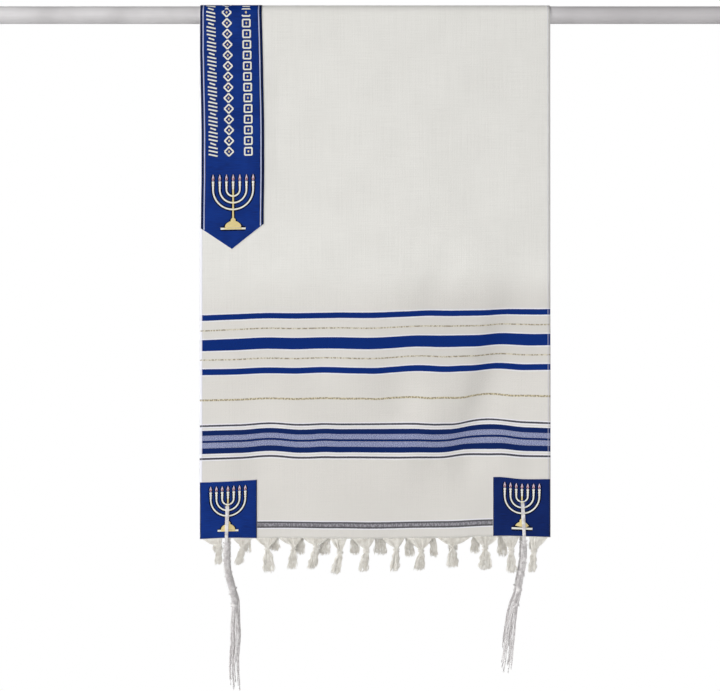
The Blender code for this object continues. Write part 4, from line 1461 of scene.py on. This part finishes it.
def make_patch(panel, side_name, side, satin, threads):
    name = f"corner_patch_{panel.name}_{side_name}"
    cells = patch_cells(panel, side)
    patch = make_cloth(f"sewn_{name}", cells, SEWN_DISTANCE, SEWN_THICKNESS, satin, patch_edges)
    belongs(patch, "blue_satin", name)
    work = Needlework(threads)
    tip = hem_at(panel, PATCH_MOTIF_TIP)
    stitch_motif(work, PATCH_MOTIF, side * PATCH_MOTIF_ACROSS, tip, -panel.outward)
    stitched = belongs(work.hang(f"lampstand_{panel.name}_{side_name}", SEWN_FACE), "white_string")
    seam = belongs(make_patch_seam(panel, side_name, side, threads), "blue_satin")
    return [patch, stitched, seam]


def stitches_along(work, start, end, thread):
    """A row of running stitches from one flat place to another."""
    start, end = np.array(start), np.array(end)
    count = max(round(np.linalg.norm(end - start) / STITCH_PITCH), 1)
    for i in range(count):
        one = start + (end - start) * (i + 0.18) / count
        two = start + (end - start) * (i + 0.82) / count
        work.strip((one, (one + two) / 2, two), STITCH_HALF_WIDTHS, STITCH_HEIGHT, thread)


def make_patch_seam(panel, side_name, side, threads):
    """The running stitches round a patch, and the buttonhole stitches round its eyelet."""
    work = Needlework(threads)
    outer = side * (CLOTH_WIDTH / 2 - PATCH_INSET - SEAM_INSET)
    inner = side * (CLOTH_WIDTH / 2 - PATCH_SIDE + SEAM_INSET)
    low = hem_at(panel, PATCH_INSET + SEAM_INSET)
    high = hem_at(panel, PATCH_SIDE - SEAM_INSET)
    corners = [(outer, low), (inner, low), (inner, high), (outer, high), (outer, low)]
    for start, end in zip(corners, corners[1:]):
        stitches_along(work, start, end, "blue")
    middle = hem_at(panel, EYELET_ABOVE_HEM)
    centre = side * EYELET_FROM_CENTRE
    reach = EYELET_RADIUS + BUTTONHOLE_OUT
    turns = np.linspace(0, 2 * math.pi, 33)
    ring = [(centre + math.cos(turn) * reach, middle + math.sin(turn) * reach) for turn in turns]
    work.strip(ring, BUTTONHOLE_HALF_WIDTH, BUTTONHOLE_HEIGHT, "blue")
    return work.hang(f"patch_seam_{panel.name}_{side_name}", SEWN_FACE)


def make_band_seam(threads):
    """The running stitches along the neckband's sides and round its points."""
    work = Needlework(threads)
    for side in (-1, 1):
        line = band_line(SEAM_INSET, side)
        for start, end in zip(line, line[1:]):
            stitches_along(work, start, end, "blue")
    return belongs(work.hang("neckband_seam", SEWN_FACE), "blue_satin")


def make_threads():
    return {
        "cream": make_thread("cream_thread", CREAM_THREAD, CREAM_DARK),
        "straw": make_thread("straw_thread", STRAW_THREAD, STRAW_DARK),
        "silver": make_thread("silver_thread", SILVER_THREAD, SILVER_DARK, roughness=0.4, metallic=0.3),
        "flame": make_thread("flame_thread", FLAME_THREAD, FLAME_DARK),
        "pale flame": make_thread("pale_flame_thread", PALE_FLAME_THREAD, PALE_FLAME_DARK),
        "shade": make_thread("shade_thread", SHADE_THREAD, SHADE_DARK, specular=0.05),
        "blue": make_thread("blue_thread", BLUE_THREAD, BLUE_DEEP),
    }


# The camera, the floor and the light


def make_camera():
    camera = bpy.data.cameras.new("camera")
    camera.sensor_width = CAMERA_SENSOR
    camera.lens = CAMERA_LENS
    camera.clip_end = 50
    view = add_object("camera", camera)
    view.location = CAMERA_PLACE
    view.rotation_euler = (math.pi / 2, 0, 0)
    bpy.context.scene.camera = view


def make_floor():
    """A pale round floor below the shawl, which fades into the white around it."""
    bm = bmesh.new()
    bmesh.ops.create_circle(bm, cap_ends=True, segments=128, radius=FLOOR_RADIUS)
    mesh = mesh_of("floor", bm)
    floor = add_object("floor", mesh)
    floor.location = (0, 0, FLOOR_HEIGHT)
    graph = Graph("pale_floor", roughness=0.9, specular=0.1)
    where = graph.add("ShaderNodeNewGeometry", {}).outputs["Position"]
    x, y, _ = graph.add("ShaderNodeSeparateXYZ", {0: where}).outputs
    reach = graph.add("ShaderNodeVectorMath", {0: graph.vector(x, y)}, operation="LENGTH").outputs["Value"]
    grain = graph.noise(where, 6.0, 3.0)
    colour = graph.mix(graph.remap(grain, 0.3, 0.7), FLOOR_PALE, FLOOR_GREY)
    graph.finish(colour)
    graph.shader.inputs["Emission Color"].default_value = (1, 1, 1, 1)
    graph.feed(graph.shader.inputs["Emission Strength"], graph.remap(reach, 1.0, 2.1, 0.0, 1.0))
    mesh.materials.append(graph.material)


def make_light():
    """Even white light from all round, and soft lights from the upper left, the front and the back."""
    world = bpy.data.worlds.new("studio")
    bpy.context.scene.world = world
    world.use_nodes = True
    nodes = world.node_tree.nodes
    background = nodes["Background"]
    background.inputs["Color"].default_value = (1, 1, 1, 1)
    path = nodes.new("ShaderNodeLightPath")
    level = nodes.new("ShaderNodeMapRange")
    level.inputs["To Min"].default_value = LIGHT_ALL_ROUND
    level.inputs["To Max"].default_value = 1.0
    world.node_tree.links.new(path.outputs["Is Camera Ray"], level.inputs["Value"])
    world.node_tree.links.new(level.outputs["Result"], background.inputs["Strength"])
    add_lamp("key", place=(-5.3, -2.4, 2.35), size=2.5, energy=265)
    add_lamp("front", place=(-0.3, -7.5, -0.4), size=3, energy=319)
    add_lamp("back", place=(3.5, 5.5, 0.6), size=2.5, energy=350)
    bpy.context.scene.view_settings.view_transform = "Standard"


def add_lamp(name, place, size, energy):
    """A round soft lamp, which faces the middle of the shawl."""
    light = bpy.data.lights.new(name, "AREA")
    light.shape = "DISK"
    light.size = size
    light.energy = energy
    lamp = add_object(name, light)
    lamp.location = place
    aim = Vector(LIGHT_AIM) - lamp.location
    lamp.rotation_euler = aim.to_track_quat("-Z", "Y").to_euler()


def main():
    for old in list(bpy.data.objects):
        bpy.data.objects.remove(old)
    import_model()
    make_camera()
    make_light()
    make_floor()

    weave = make_striped_weave()
    yarn = make_yarn("fringe_yarn_cotton", YARN_LIGHT, YARN_DARK, twist=1.6)
    string = make_yarn("tzitzit_string_wool", STRING_LIGHT, STRING_DARK, twist=2.2)
    threads = make_threads()

    rod = make_rod(make_rod_paint())
    shawl = make_cloth("woven_shawl", shawl_cells(), 0.0, CLOTH_THICKNESS, weave)
    belongs(shawl, "ivory_weave", "shawl")
    band_satin = make_satin("neckband_satin", border=4.0)
    band = make_cloth("satin_neckband", band_cells(), SEWN_DISTANCE, SEWN_THICKNESS, band_satin, band_edges)
    belongs(band, "blue_satin", "neckband")
    band_work = [make_band_needlework(threads), make_band_seam(threads)]
    hung = [band, *band_work]
    # The patches on the right get painted shade
    patch_satin = make_satin("patch_satin", border=1.6, painted_shade_right=0.5)
    for panel, tassels in ((FRONT, FRONT_TASSELS), (BACK, BACK_TASSELS)):
        for side_name, side, ways in SIDES:
            hung += make_patch(panel, side_name, side, patch_satin, threads)
            hung.append(make_tzitzit(panel, side_name, side, ways, string))
        for number, tassel in enumerate(tassels, 1):
            hung.append(make_tassel(panel, number, tassel, yarn))


main()
